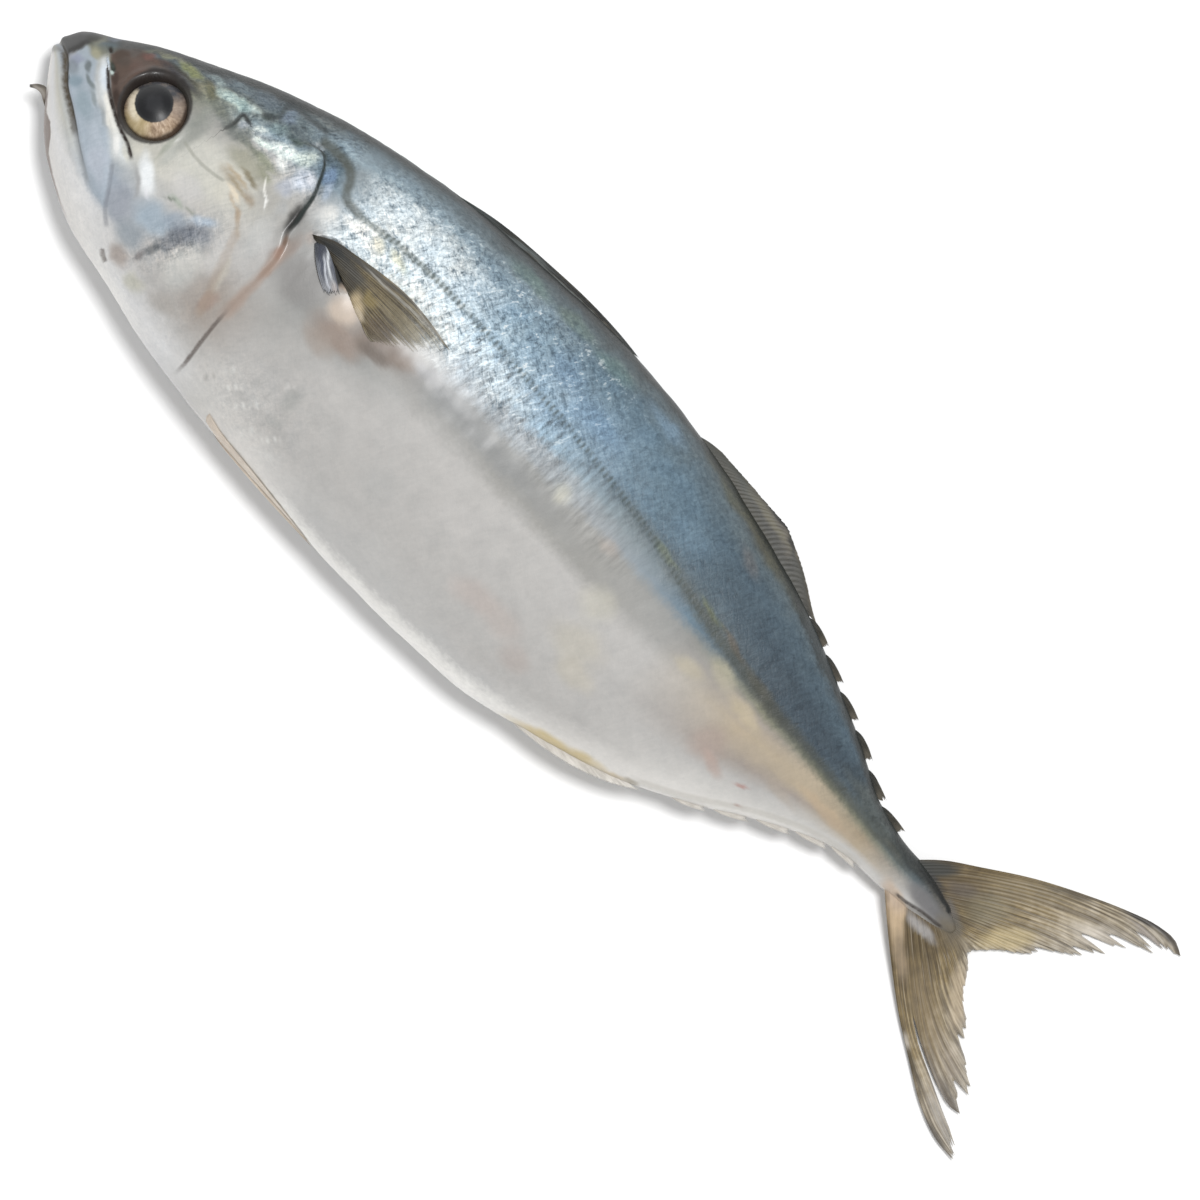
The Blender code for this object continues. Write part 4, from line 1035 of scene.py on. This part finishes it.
def build_eye(name, side, finish):
    """A flattened ball that looks straight out of the flank."""
    step = 0.5  # each way, to find which way the flank faces
    x, y = EYE

    def flank(dx, dy):
        return Vector((x + dx, y + dy, float(flank_height(x + dx, y + dy, side))))

    back, up = flank(step, 0) - flank(-step, 0), flank(0, step) - flank(0, -step)
    normal = (back.cross(up) * side).normalized()
    centre = flank(0, 0) - normal * (EYE_HALF_DEPTH - EYE_PROUD)
    turn = np.array(normal.to_track_quat("Z", "Y").to_matrix())
    fall = np.linspace(0, math.pi, EYE_RINGS + 2)[1:-1, None]
    turns = 2 * math.pi * np.arange(EYE_CORNERS)[None, :] / EYE_CORNERS
    radius = EYE_RADIUS * np.sin(fall)
    rise = EYE_HALF_DEPTH * np.cos(fall) + 0 * turns
    ball = np.stack([radius * np.cos(turns), radius * np.sin(turns), rise], -1)
    lens = CORNEA * np.exp(-((ball[..., 0] - PUPIL[0]) ** 2 + (ball[..., 1] - PUPIL[1]) ** 2) / 6.5)
    ball[..., 2] += lens * (ball[..., 2] > 0)
    caps = np.array([(0, 0, EYE_HALF_DEPTH + CORNEA), (0, 0, -EYE_HALF_DEPTH)])
    local = np.vstack([ball.reshape(-1, 3), caps])
    points = local @ turn.T + np.array(centre)
    dx, dy = points[:, 0] - x, points[:, 1] - y
    px, py = dx - PUPIL[0], dy - PUPIL[1]
    from_pupil = np.hypot(px, py)
    unit = np.maximum(from_pupil, 1e-6)
    fields = {
        "from_pupil": from_pupil,
        "from_iris": np.hypot(dx, dy * IRIS_SHORTENING),
        "around": np.stack([px / unit, py / unit, 0 * px], -1),
    }
    mesh = mesh_of(name, points, ring_faces(EYE_RINGS, EYE_CORNERS), fields)
    mesh.flip_normals()
    return add_piece(name + "_ball", mesh, finish, [name])


# ---------------------------------------------------------------------------------------------
# Fins: a thin skin on rays
# ---------------------------------------------------------------------------------------------
COLUMNS_PER_RAY = 4


def resampled(line, count):
    gone = np.concatenate([[0], np.cumsum(np.linalg.norm(np.diff(line, axis=0), axis=1))])
    wanted = np.linspace(0, gone[-1], count)
    return np.stack([np.interp(wanted, gone, c) for c in line.T], 1)


def spread_rays(guides, columns, rows):
    """Points of columns between the guide rays, each with evenly spaced rows from root to tip."""
    drawn = np.array([resampled(rounded(guide), rows) for guide in guides])
    where = np.linspace(0, len(guides) - 1, columns)
    index = np.arange(len(guides))
    flat = drawn.reshape(len(guides), -1)
    spread = np.stack([smooth(np.stack([index, c], 1))(where) for c in flat.T], 1)
    return spread.reshape(columns, rows, -1)


def build_fin(
    name, guides, rays, rows, height, finish, nodes,
    thick, ridge, fray, seed, swell=0.0, tears=(), marks=(),
):
    """A fin with this many rays, spread between the guide rays, in this many rows from root to tip.

    Its skin ends raggedly between the tips of the rays. thick is its thickness at the root, which
    swell adds to, and ridge is how far each ray stands out. fray is the share of the length that may
    be gone, and each tear is (place across the fin, half width, depth).
    """
    chance = np.random.default_rng(seed)
    columns = rays * COLUMNS_PER_RAY + 1
    spread = spread_rays(guides, columns, rows)
    number = np.arange(columns)
    share = number / (columns - 1)
    crest = (0.5 + 0.5 * np.cos(2 * math.pi * number / COLUMNS_PER_RAY)) ** 1.3
    gaps = chance.uniform(0.2, 1, rays + 1)[number // COLUMNS_PER_RAY]
    tips = chance.uniform(0, 1, rays + 1)[(number + COLUMNS_PER_RAY // 2) // COLUMNS_PER_RAY]
    inner = 0.15 + 0.85 * ease(0, 0.05, np.minimum(share, 1 - share))
    loss = fray * (gaps * (1 - crest) + 0.6 * tips) * inner
    for centre, wide, deep in tears:
        loss = loss + deep * np.exp(-((share - centre) / wide) ** 2)
    reach = 1 - np.minimum(loss, 0.9)[:, None]
    along = np.linspace(0, 1, rows)[None, :] * reach
    cell = along * (rows - 1)
    base = np.minimum(cell.astype(int), rows - 2)
    part = (cell - base)[..., None]
    line = number[:, None]
    flat = spread[line, base] * (1 - part) + spread[line, base + 1] * part
    x, y = flat[..., 0], flat[..., 1]
    level = height(x, y) + (flat[..., 2] if flat.shape[-1] > 2 else 0)
    half = thick / 2 * (1 - 0.7 * along) + ridge * crest[:, None] * (1 - 0.6 * along)
    half = half + swell * np.exp(-(along / 0.14) ** 2)
    points = np.stack([np.stack([x, y, level + side * half], -1) for side in (1, -1)])
    across = share[:, None] + 0 * along
    fields = painted(x, y, marks)
    fields["ray"] = np.stack([along, across, crest[:, None] + 0 * along], -1)
    fields["length"] = reach + 0 * along
    for field, values in fields.items():
        fields[field] = np.concatenate([values, values]).reshape(-1, *values.shape[2:])
    mesh = mesh_of(name, points, sheet_faces(columns, rows), fields)
    return add_piece(name, mesh, finish, nodes)


def sheet_faces(columns, rows):
    """Faces of a two-sided sheet that is closed round its edge."""
    grid = np.arange(columns * rows).reshape(columns, rows)
    below = grid + columns * rows
    quads = np.stack([grid[:-1, :-1], grid[1:, :-1], grid[1:, 1:], grid[:-1, 1:]], -1).reshape(-1, 4)
    under = np.stack([below[:-1, :-1], below[:-1, 1:], below[1:, 1:], below[1:, :-1]], -1).reshape(-1, 4)
    rim = np.concatenate([grid[:-1, 0], grid[-1, :-1], grid[:0:-1, -1], grid[0, :0:-1]])
    after = np.roll(rim, -1)
    low = columns * rows
    walls = np.stack([rim, rim + low, after + low, after], -1)
    return np.vstack([quads, under, walls]).tolist()


def fin_finish(name, colours, clear, fine, strong=0.6, thin=0.0):
    """Thin fin skin, with the colours of its root, its middle, its tip and its streaks.

    clear is how far the skin between the tips of the rays lets light through, fine is how close the
    streaks lie, strong is how dark they are, and thin is how far the whole outer half is see-through.
    """
    wet = {"Roughness": 0.5, "Coat Weight": 0.1, "Coat Roughness": 0.3, "Specular IOR Level": 0.3}
    fin = Finish(name, wet)
    root, middle, tip, streak = (pigment(*colour) for colour in colours)
    along, across, crest = fin.fields("ray")
    length = fin.field("length")
    mottle = fin.grain(fin.place(), 0.55, 3, 0.6) - 0.5
    lines = fin.grain(fin.join(across * (60 * fine), along * 2.2), 1.0, 4, 0.65)
    sheen_threads = fin.grain(fin.join(across * (150 * fine), along * 3.5), 1.0, 2, 0.5)
    colour = fin.ramp(along + mottle * 0.5, [(0.0, root), (0.22, root), (0.5, middle), (0.95, tip)])
    dark = (1 - crest) * 0.5 + lines.ease(0.6, 0.38) * 0.7
    colour = fin.blend(dark.least(1) * strong, colour, streak)
    # painted sheen: pale threads along the rays
    colour = fin.blend(sheen_threads.ease(0.56, 0.7) * 0.35, colour, tip)
    colour = fin.overpainted(colour)
    fin.send("Base Color", fin.scaled(colour, mottle * 0.5 + (lines - 0.5) * 0.5 + 1.0))
    edge = (length - along) / 0.25
    solid = edge.ease(-0.05, 0.6) * 0.5 + lines.ease(0.4, 0.6) * 0.4 + 0.2
    inner = across.ease(0.0, 0.08) * across.ease(1.0, 0.92)
    faint = along.ease(0.35, 0.95) * (1.2 - lines) * inner * thin
    open_skin = along.ease(0.35, 1.0) * clear * inner * (1 - solid.least(1))
    fin.send("Alpha", (1 - open_skin - faint).least(1))
    fin.bump(lines * 0.5 + sheen_threads * 0.5 + crest * 0.15, 0.4, 0.0003)
    return fin


TAIL_GUIDES = [
    [
        (183, 2.4), (187.5, 6.8), (192.5, 10.2), (200, 15), (207, 18.6), (213.5, 21.5), (219, 23.3),
        (222.2, 23.5), (224.6, 22.3),
    ],
    [(184.5, 2), (190, 7.4), (196, 11.5), (203, 15.8), (210, 18.9), (216, 20.9), (221.8, 21.2)],
    [(186.5, 1.8), (192, 6.7), (198, 10.9), (205, 14.7), (212, 17.5), (217, 18.8), (221.3, 19.6)],
    [(188, 1.6), (194, 6), (200, 9.9), (206, 12.8), (212, 15.4), (218, 17.2)],
    [(189.5, 1.4), (196, 5.5), (202, 8.8), (208, 11.7), (216, 14)],
    [(191, 1.2), (197, 4.4), (203, 7.3), (208.5, 9.5), (213.2, 11.2)],
    [(192.5, 1), (198, 3.4), (203, 5.5), (206, 6.9), (209.8, 8.6)],
    [(193.6, 0.8), (198.5, 2.3), (202, 3.7), (207.2, 5.6)],
    [(194.2, 0.5), (198, 1.2), (200.5, 1.9), (203.8, 2.9)],
    [(194.6, 0.1), (197.5, 0), (199, -0.1), (200.8, -0.4)],
    [(194.4, -0.3), (198, -1), (200, -1.7), (202.5, -2.7)],
    [(193.8, -0.7), (198, -2.4), (201.5, -4.2), (205, -6.1)],
    [(192.6, -1), (198, -4), (202.5, -6.6), (208.4, -8.7)],
    [(191, -1.2), (197, -5.4), (202, -8.8), (206, -10.8), (212, -12.7)],
    [(189.5, -1.4), (196, -6.6), (201, -10.3), (207, -13.3), (216.4, -16)],
    [(188, -1.6), (194, -6.9), (200, -11.7), (206, -15.8), (212, -18.6), (219.2, -20.8)],
    [
        (186.5, -1.7), (192.5, -7.4), (198.5, -12.6), (205, -16.9), (210, -19), (215, -21.2),
        (219, -22.8), (221.3, -24),
    ],
    [(185, -1.8), (190, -7), (196, -12.2), (203, -17.2), (210, -21), (216, -23.6), (221.8, -24.9)],
    [
        (183, -1.9), (187.5, -5.8), (192.5, -9.9), (200, -15.5), (206, -19.3), (212, -22.9),
        (217.5, -25), (221.9, -25.4),
    ],
]
TAIL_TEARS = [
    (0.075, 0.01, 0.08), (0.14, 0.014, 0.14), (0.195, 0.012, 0.16), (0.25, 0.01, 0.12),
    (0.34, 0.008, 0.1), (0.64, 0.008, 0.08), (0.71, 0.008, 0.08), (0.8, 0.008, 0.08),
    (0.861, 0.018, 0.52),
]
PECTORAL_GUIDES = [
    [
        (48.8, 6.6, 0.3), (52, 8.3, 0.9), (56, 9.1, 1.3), (61, 9.9, 1.2), (66, 10.3, 1), (71, 9.9, 0.8),
        (76.6, 8.9, 0.5),
    ],
    [
        (49.2, 6.5, 0.3), (53, 7.7, 1), (58, 8.4, 1.3), (63, 8.8, 1.1), (68, 9, 0.9), (72, 8.8, 0.7),
        (77, 8, 0.4),
    ],
    [(49.6, 6.3, 0.2), (54, 7.1, 0.9), (59, 7.5, 1.1), (64, 7.7, 0.9), (69, 7.7, 0.7), (76, 7, 0.4)],
    [(51.6, 6.2, 0.1), (57, 6.3, 0.6), (62, 6.5, 0.9), (67, 6.3, 0.7), (71, 6, 0.5), (74.8, 5.7, 0.3)],
    [(55, 5.6, 0), (59, 5.4, 0.5), (63, 5.2, 0.7), (67, 4.9, 0.6), (70, 4.7, 0.4), (73, 4.5, 0.3)],
    [(57.6, 4.6, -0.1), (61, 4.2, 0.4), (64.5, 3.8, 0.5), (67.5, 3.5, 0.4), (71.2, 3.4, 0.3)],
    [(60, 3.6, -0.2), (63, 2.9, 0.3), (65.5, 2.4, 0.4), (67.5, 2.3, 0.3), (69.2, 2.3, 0.2)],
    [(62, 2.7, -0.2), (64, 2.1, 0.2), (65.2, 1.6, 0.3), (66.2, 1.3, 0.2), (67, 1.2, 0.2)],
]
PECTORAL_OUTLINE = [
    (49, 6.4), (52, 8.6), (58, 9.8), (66, 10.6), (72, 10.2), (77, 8.2), (73, 4.2), (69, 1.8), (65, 0.8),
    (60, 1.6), (54, 4.4),
]
PECTORAL_TEARS = [(0.3, 0.04, 0.05), (0.62, 0.05, 0.08)]
PECTORAL_MARKS = [
    (53, 7.1, 4, 0.8, 10, (50, 52, 52), 0.9), (57, 8.7, 8, 0.5, 7, (66, 64, 60), 0.9),
    (64, 9.7, 9, 0.35, 3, (84, 80, 70), 0.85), (66, 8.9, 8, 0.25, 0, (182, 180, 172), 0.7),
    (68, 8.2, 7, 0.3, -2, (96, 88, 70), 0.7), (72, 9.2, 4, 0.4, -8, (176, 172, 164), 0.7),
    # the first mark here darkens the root of the fin over its hollow: painted shade
    (57.4, 6.6, 3.6, 1, 0, (76, 74, 68), 0.85), (66.6, 7.2, 3, 0.7, -4, (108, 98, 72), 0.7),
    (61.4, 4, 2, 1.4, -20, (194, 176, 142), 0.85), (62.6, 5.8, 1.5, 1, -30, (140, 124, 80), 0.8),
    (62.8, 2.6, 1.5, 1, -30, (204, 190, 166), 0.85), (66.6, 3.4, 2.6, 2, 20, (98, 84, 66), 0.7),
    (73.6, 6.6, 3.4, 1.8, 0, (186, 181, 164), 0.6),
]
FLAP_GUIDES = [
    [(50.4, 6.9, -0.2), (52.2, 6.6, 0.9), (54.2, 5.7, 1.2), (56.2, 4.4, 0.9), (58.4, 3, 0.2)],
    [(50.2, 6.4, -0.2), (51.8, 5.6, 1), (53.6, 4.5, 1.2), (55.6, 3.2, 1), (57.8, 1.9, 0.2)],
    [(50, 5.8, -0.3), (51.2, 4.8, 0.7), (52.6, 3.7, 0.8), (54.6, 2.4, 0.6), (56.6, 1.4, 0)],
]
FLAP_MARKS = [
    # the first two marks are pale streaks of painted highlight on the ridges of the flap
    (53.8, 5.2, 3.6, 0.22, -33, (232, 236, 240), 0.9),
    (54.6, 3.9, 3.2, 0.22, -38, (222, 226, 234), 0.85), (53, 4.4, 3, 0.3, -36, (84, 90, 106), 0.8),
    (55.6, 4.8, 2.6, 0.26, -35, (92, 96, 108), 0.8), (51.6, 5.6, 1.2, 0.6, -30, (96, 100, 112), 0.7),
    (57.4, 2.8, 1.4, 0.7, -35, (208, 200, 196), 0.7),
]
FLAT_FIN_HEIGHT = 0.42  # of the right pectoral fin above the table


def mid_plane(x, y):
    """Height of the fins that stand on the fish's middle plane."""
    return middle_height(x) + 0 * y


def build_tail(finish):
    def height(x, y):
        curl = 0.35 * np.sin(y * 0.22 + 1) + 0.2 * np.sin(x * 0.31 + y * 0.5)
        return middle_height(x) + curl * ease(198, 212, x)

    build_fin(
        "tail_fin", TAIL_GUIDES, 56, 40, height, finish, ["caudal_fin"],
        thick=0.8, ridge=0.1, fray=0.06, swell=0.5, tears=TAIL_TEARS, marks=TAIL_MARKS, seed=11,
    )


def build_pectorals(finish, flap):
    build_fin(
        "left_pectoral", PECTORAL_GUIDES, 22, 40, flank_height, finish,
        ["pectoral_fin_left"],
        thick=0.3, ridge=0.1, fray=0.06, tears=PECTORAL_TEARS, marks=PECTORAL_MARKS, seed=5,
    )
    build_fin(
        "left_pectoral_base", FLAP_GUIDES, 9, 24, flank_height, flap, [],
        thick=0.4, ridge=0.3, fray=0.1, marks=FLAP_MARKS, seed=6,
    )
    flat = [[(px, py) for px, py, _ in guide] for guide in PECTORAL_GUIDES]
    build_fin(
        "right_pectoral", flat, 22, 16, lambda x, y: FLAT_FIN_HEIGHT + 0 * x, finish,
        ["pectoral_fin_right"],
        thick=0.3, ridge=0.08, fray=0.06, seed=7,
    )


FIRST_DORSAL_ROOT = 0.9  # how far its rays run into the back
SECOND_DORSAL_ROOT = 1.6
SECOND_DORSAL_START = 110.5
SECOND_DORSAL_LENGTH = 33.5
SECOND_DORSAL_TOP = smooth([
    (110, 27.4), (115, 27.7), (120, 27.5), (125, 27.2), (130, 26.8), (134, 26.4), (136, 25.4),
    (138.5, 24.3), (141, 22.9), (144, 21), (147, 18.9),
])
FIRST_DORSAL_TOP = smooth([
    (58, 26.4), (65, 28.1), (70, 28.8), (75, 29.2), (80, 29.5), (88, 29.7), (93, 29.5), (100, 28.7),
])
FIRST_DORSAL_MARKS = [
    (84, 29.3, 14, 0.4, 1, (34, 36, 36), 0.95), (72, 28.2, 8, 0.4, 8, (92, 98, 98), 0.9),
    (84, 28.6, 12, 0.3, 1, (104, 110, 110), 0.9), (96, 29, 5, 0.6, -8, (62, 66, 66), 0.9),
    (64, 27.4, 5, 0.8, 12, (72, 78, 78), 0.9),
]
SECOND_DORSAL_MARKS = [
    (131, 26.7, 6, 0.4, -6, (30, 30, 28), 0.95), (136.5, 24.9, 3, 0.5, -32, (40, 40, 36), 0.9),
    (121, 26.6, 9, 1.1, -5, (64, 66, 60), 0.9), (131, 25.4, 6, 0.6, -10, (100, 95, 76), 0.8),
    (140.5, 22.2, 4.5, 0.9, -34, (62, 62, 56), 0.85), (128, 23.8, 12, 1.2, -15, (60, 58, 46), 0.9),
    (140, 20.4, 6, 1, -26, (64, 64, 56), 0.85),
]


def build_dorsals(finish):
    rows = []
    for share in (0, 0.4, 0.75, 1):
        spots = np.array((58.5, 68, 78, 88, 95, 99.5 - share))
        low, high = back_edge(spots) - FIRST_DORSAL_ROOT, FIRST_DORSAL_TOP(spots)
        rows.append(np.stack([spots, low + (high - low) * share], 1))
    build_fin(
        "first_dorsal", rows, 5, 60, mid_plane, finish, ["first_dorsal_fin"],
        thick=2.4, ridge=0.12, fray=0.03, marks=FIRST_DORSAL_MARKS, seed=22,
    )
    guides = []
    for share in np.linspace(0, 1, 12):
        foot = SECOND_DORSAL_START + SECOND_DORSAL_LENGTH * share
        xs = foot + (7.5 - 4 * share) * np.array((0, 0.3, 0.65, 1))
        low = back_edge(xs) - SECOND_DORSAL_ROOT
        high = SECOND_DORSAL_TOP(xs)
        guides.append(np.stack([xs, low + (high - low) * np.array((0, 0.5, 0.85, 1))], 1))
    build_fin(
        "second_dorsal", guides, 38, 20, mid_plane, finish, ["second_dorsal_fin"],
        thick=0.9, ridge=0.03, fray=0.05, marks=SECOND_DORSAL_MARKS, seed=21,
    )


BACK_FINLETS = (144.8, 150.4, 156.2, 162.2, 168.1, 173.6)  # where each starts
BELLY_FINLETS = (149.4, 155.3, 161.3, 167, 172.4)
# Rays of a small fin, from where it starts: back along the fish, and out of the edge.
FINLET_RAYS = [
    [(0, -0.7), (2, 0.5), (4.2, 1), (6.6, 1.1)],
    [(1.6, -1), (3.2, -0.1), (4.8, 0.4), (6.2, 0.6)],
    [(3.2, -1), (4, -0.6), (4.9, -0.3), (5.7, 0)],
]


def finlet_guides(edge, side, start, rise):
    """The rays of a small fin that lies back along the edge of the back (side 1) or belly (-1)."""
    return [
        [(start + go, float(edge(start + go)) + side * rise * up) for go, up in ray]
        for ray in FINLET_RAYS
    ]


def build_finlets(dark, pale):
    for number, start in enumerate(BACK_FINLETS, 1):
        build_fin(
            f"back_finlet_{number}", finlet_guides(back_edge, 1, start, 1.05), 8, 16, mid_plane, dark,
            [f"dorsal_finlet_{number}"], thick=1.2, ridge=0.06, fray=0.1, seed=30 + number,
        )
    for number, start in enumerate(BELLY_FINLETS, 1):
        build_fin(
            f"belly_finlet_{number}", finlet_guides(belly_edge, -1, start, 0.65), 6, 14, mid_plane, pale,
            [f"anal_finlet_{number}"], thick=1.0, ridge=0.1, fray=0.14, seed=40 + number,
        )


ANAL_START = 121
ANAL_END = 141.5
ANAL_ROOT = 1.4  # how far the rays run into the belly


def build_anal_fin(finish):
    guides = []
    for share in np.linspace(0, 1, 7):
        foot = ANAL_START + (ANAL_END - ANAL_START) * share
        tip = foot + (6 - 1.5 * share)
        rise = 0.5 + 1.1 * math.sin(math.pi * share) ** 0.8
        xs = foot + (tip - foot) * np.array((0, 0.35, 0.7, 1))
        drops = rise * np.array((0, 0.45, 0.78, 1)) - ANAL_ROOT * np.array((1, 0.5, 0.15, 0))
        guides.append([(px, float(belly_edge(px)) - drop) for px, drop in zip(xs, drops)])
    build_fin(
        "anal", guides, 26, 14, mid_plane, finish, ["anal_fin"],
        thick=1.6, ridge=0.03, fray=0.06, seed=51,
    )


PELVIC_GUIDES = [
    [(57, -24.6, 0), (60, -25.3, 0.1), (67, -26.1, 0.3), (75, -27, 0.3), (82, -27.8, 0.2)],
    [(57, -25.2, 0), (60, -26, 0.1), (67, -26.8, 0.2), (75, -27.5, 0.2), (83, -28.1, 0.1)],
    [(57.4, -25.8, 0), (60, -26.5, 0.1), (66, -27.2, 0.1), (73, -27.7, 0.1), (80, -28, 0.1)],
]


def build_pelvics(finish):
    for side, word, seed in ((1, "left", 61), (-1, "right", 62)):
        guides = [[(px, py, lift * side) for px, py, lift in guide] for guide in PELVIC_GUIDES]
        build_fin(
            f"{word}_pelvic", guides, 7, 40, lambda x, y, s=side: flank_height(x, y, s), finish,
            [f"pelvic_fin_{word}"], thick=0.2, ridge=0.04, fray=0.05, seed=seed,
        )


JAW_FLAP_GUIDES = [
    [(4.6, -7.6, 0.1), (3.7, -6.9, 0.3), (2.9, -6.4, 0.3), (1.6, -6.9, -0.2), (0.6, -8, -0.6)],
    [(4.8, -8.2, 0), (3.8, -7.6, 0.1), (2.9, -7.1, 0), (1.8, -7.3, -0.4), (0.7, -8.15, -0.7)],
    [(5, -8.8, -0.1), (3.9, -8.2, -0.1), (2.9, -7.7, -0.3), (2, -7.7, -0.6), (0.85, -8.3, -0.8)],
]
JAW_FLAP_MARKS = [
    (2.2, -6.6, 1.8, 0.3, 5, (92, 86, 78), 0.85), (0.9, -7.8, 0.5, 0.6, 45, (90, 86, 80), 0.8),
    (2.6, -7.4, 1.6, 0.4, 0, (176, 170, 162), 0.7),
]


def build_jaw_flap(finish):
    """The little flap of skin that hangs forward from the far side of the jaw."""
    build_fin(
        "jaw_flap", JAW_FLAP_GUIDES, 5, 24, mid_plane, finish, [],
        thick=0.25, ridge=0.03, fray=0.05, marks=JAW_FLAP_MARKS, seed=71,
    )


# ---------------------------------------------------------------------------------------------
# The table, the lights and the camera
# ---------------------------------------------------------------------------------------------
TABLE_SIZE = 6  # metres
FRAME_WIDTH = 187.4  # how wide the camera sees, in millimetres
LENS = 1000
SENSOR = 36
AIM = (120.7, -2.2)  # the place under the camera
EDGE_HEIGHT = 14  # where the outline of the fish lies above the table
CAMERA_TURN = math.radians(44.84)
SKY_STRENGTH = 0.6
KEY_STRENGTH = 2.4
KEY_FROM = (0.03, 0.21, 1)
KEY_SPREAD = math.radians(12)


def build_table():
    bpy.ops.mesh.primitive_plane_add(size=TABLE_SIZE, location=(MIDDLE.x, MIDDLE.y, LOW.z))
    table = bpy.context.object
    table.name = "table"
    white = Finish("white_table", {"Roughness": 0.9, "Specular IOR Level": 0.1})
    white.send("Base Color", (0.93, 0.93, 0.93, 1))
    table.data.materials.append(white.material)


def build_lights():
    world = bpy.data.worlds.new("white_room")
    bpy.context.scene.world = world
    world.use_nodes = True
    background = world.node_tree.nodes["Background"]
    background.inputs["Color"].default_value = (1, 1, 1, 1)
    background.inputs["Strength"].default_value = SKY_STRENGTH
    key = bpy.data.lights.new("key", "SUN")
    key.energy = KEY_STRENGTH
    key.angle = KEY_SPREAD
    lamp = bpy.data.objects.new("key", key)
    lamp.rotation_euler = Vector(KEY_FROM).to_track_quat("Z", "Y").to_euler()
    bpy.context.scene.collection.objects.link(lamp)


def build_camera():
    scene = bpy.context.scene
    scene.view_settings.view_transform = "Standard"
    data = bpy.data.cameras.new("above")
    data.lens = LENS
    data.sensor_width = SENSOR
    data.clip_start = 0.01
    camera = bpy.data.objects.new("above", data)
    away = FRAME_WIDTH * LENS / SENSOR + EDGE_HEIGHT
    camera.location = Vector(placed((AIM[0], AIM[1], away)))
    camera.rotation_euler = (0, 0, CAMERA_TURN)
    scene.collection.objects.link(camera)
    scene.camera = camera


build_camera()
build_table()
build_lights()
build_body(skin_finish())
wet_eye = eye_finish()
build_eye("eye_left", 1, wet_eye)
build_eye("eye_right", -1, wet_eye)

tail = fin_finish(
    "tail_fin_skin", [(118, 103, 75), (152, 133, 93), (204, 194, 176), (74, 60, 38)], 0.6, 1.0, 0.75,
)
golden = fin_finish(
    "pectoral_fin_skin", [(70, 68, 60), (130, 116, 82), (176, 168, 144), (66, 56, 40)],
    0.8, 0.5, 0.8, 0.85,
)
silver_flap = fin_finish(
    "pectoral_base_skin", [(104, 108, 114), (146, 150, 158), (186, 188, 192), (76, 80, 88)], 0.1, 0.4,
)
dark = [(40, 42, 38), (60, 58, 50), (112, 105, 92), (30, 30, 28)]
dark_fin = fin_finish("dark_fin_skin", dark, 0.15, 0.4, 0.4)
dorsal_fin = fin_finish("dorsal_fin_skin", dark, 0.1, 1.5, 0.3)
pale_fin = fin_finish(
    "pale_fin_skin", [(208, 203, 194), (214, 209, 201), (228, 224, 217), (198, 191, 179)],
    0.6, 0.4, 0.25,
)
pelvic_fin = fin_finish(
    "pelvic_fin_skin", [(228, 214, 198), (238, 226, 210), (240, 230, 216), (214, 196, 172)],
    0.2, 0.4, 0.25,
)
brown_flap = fin_finish(
    "jaw_flap_skin", [(122, 110, 98), (150, 142, 132), (100, 96, 90), (84, 78, 70)], 0.1, 0.3,
)

build_tail(tail)
build_pectorals(golden, silver_flap)
build_dorsals(dorsal_fin)
build_finlets(dark_fin, pale_fin)
build_anal_fin(pale_fin)
build_pelvics(pelvic_fin)
build_jaw_flap(brown_flap)
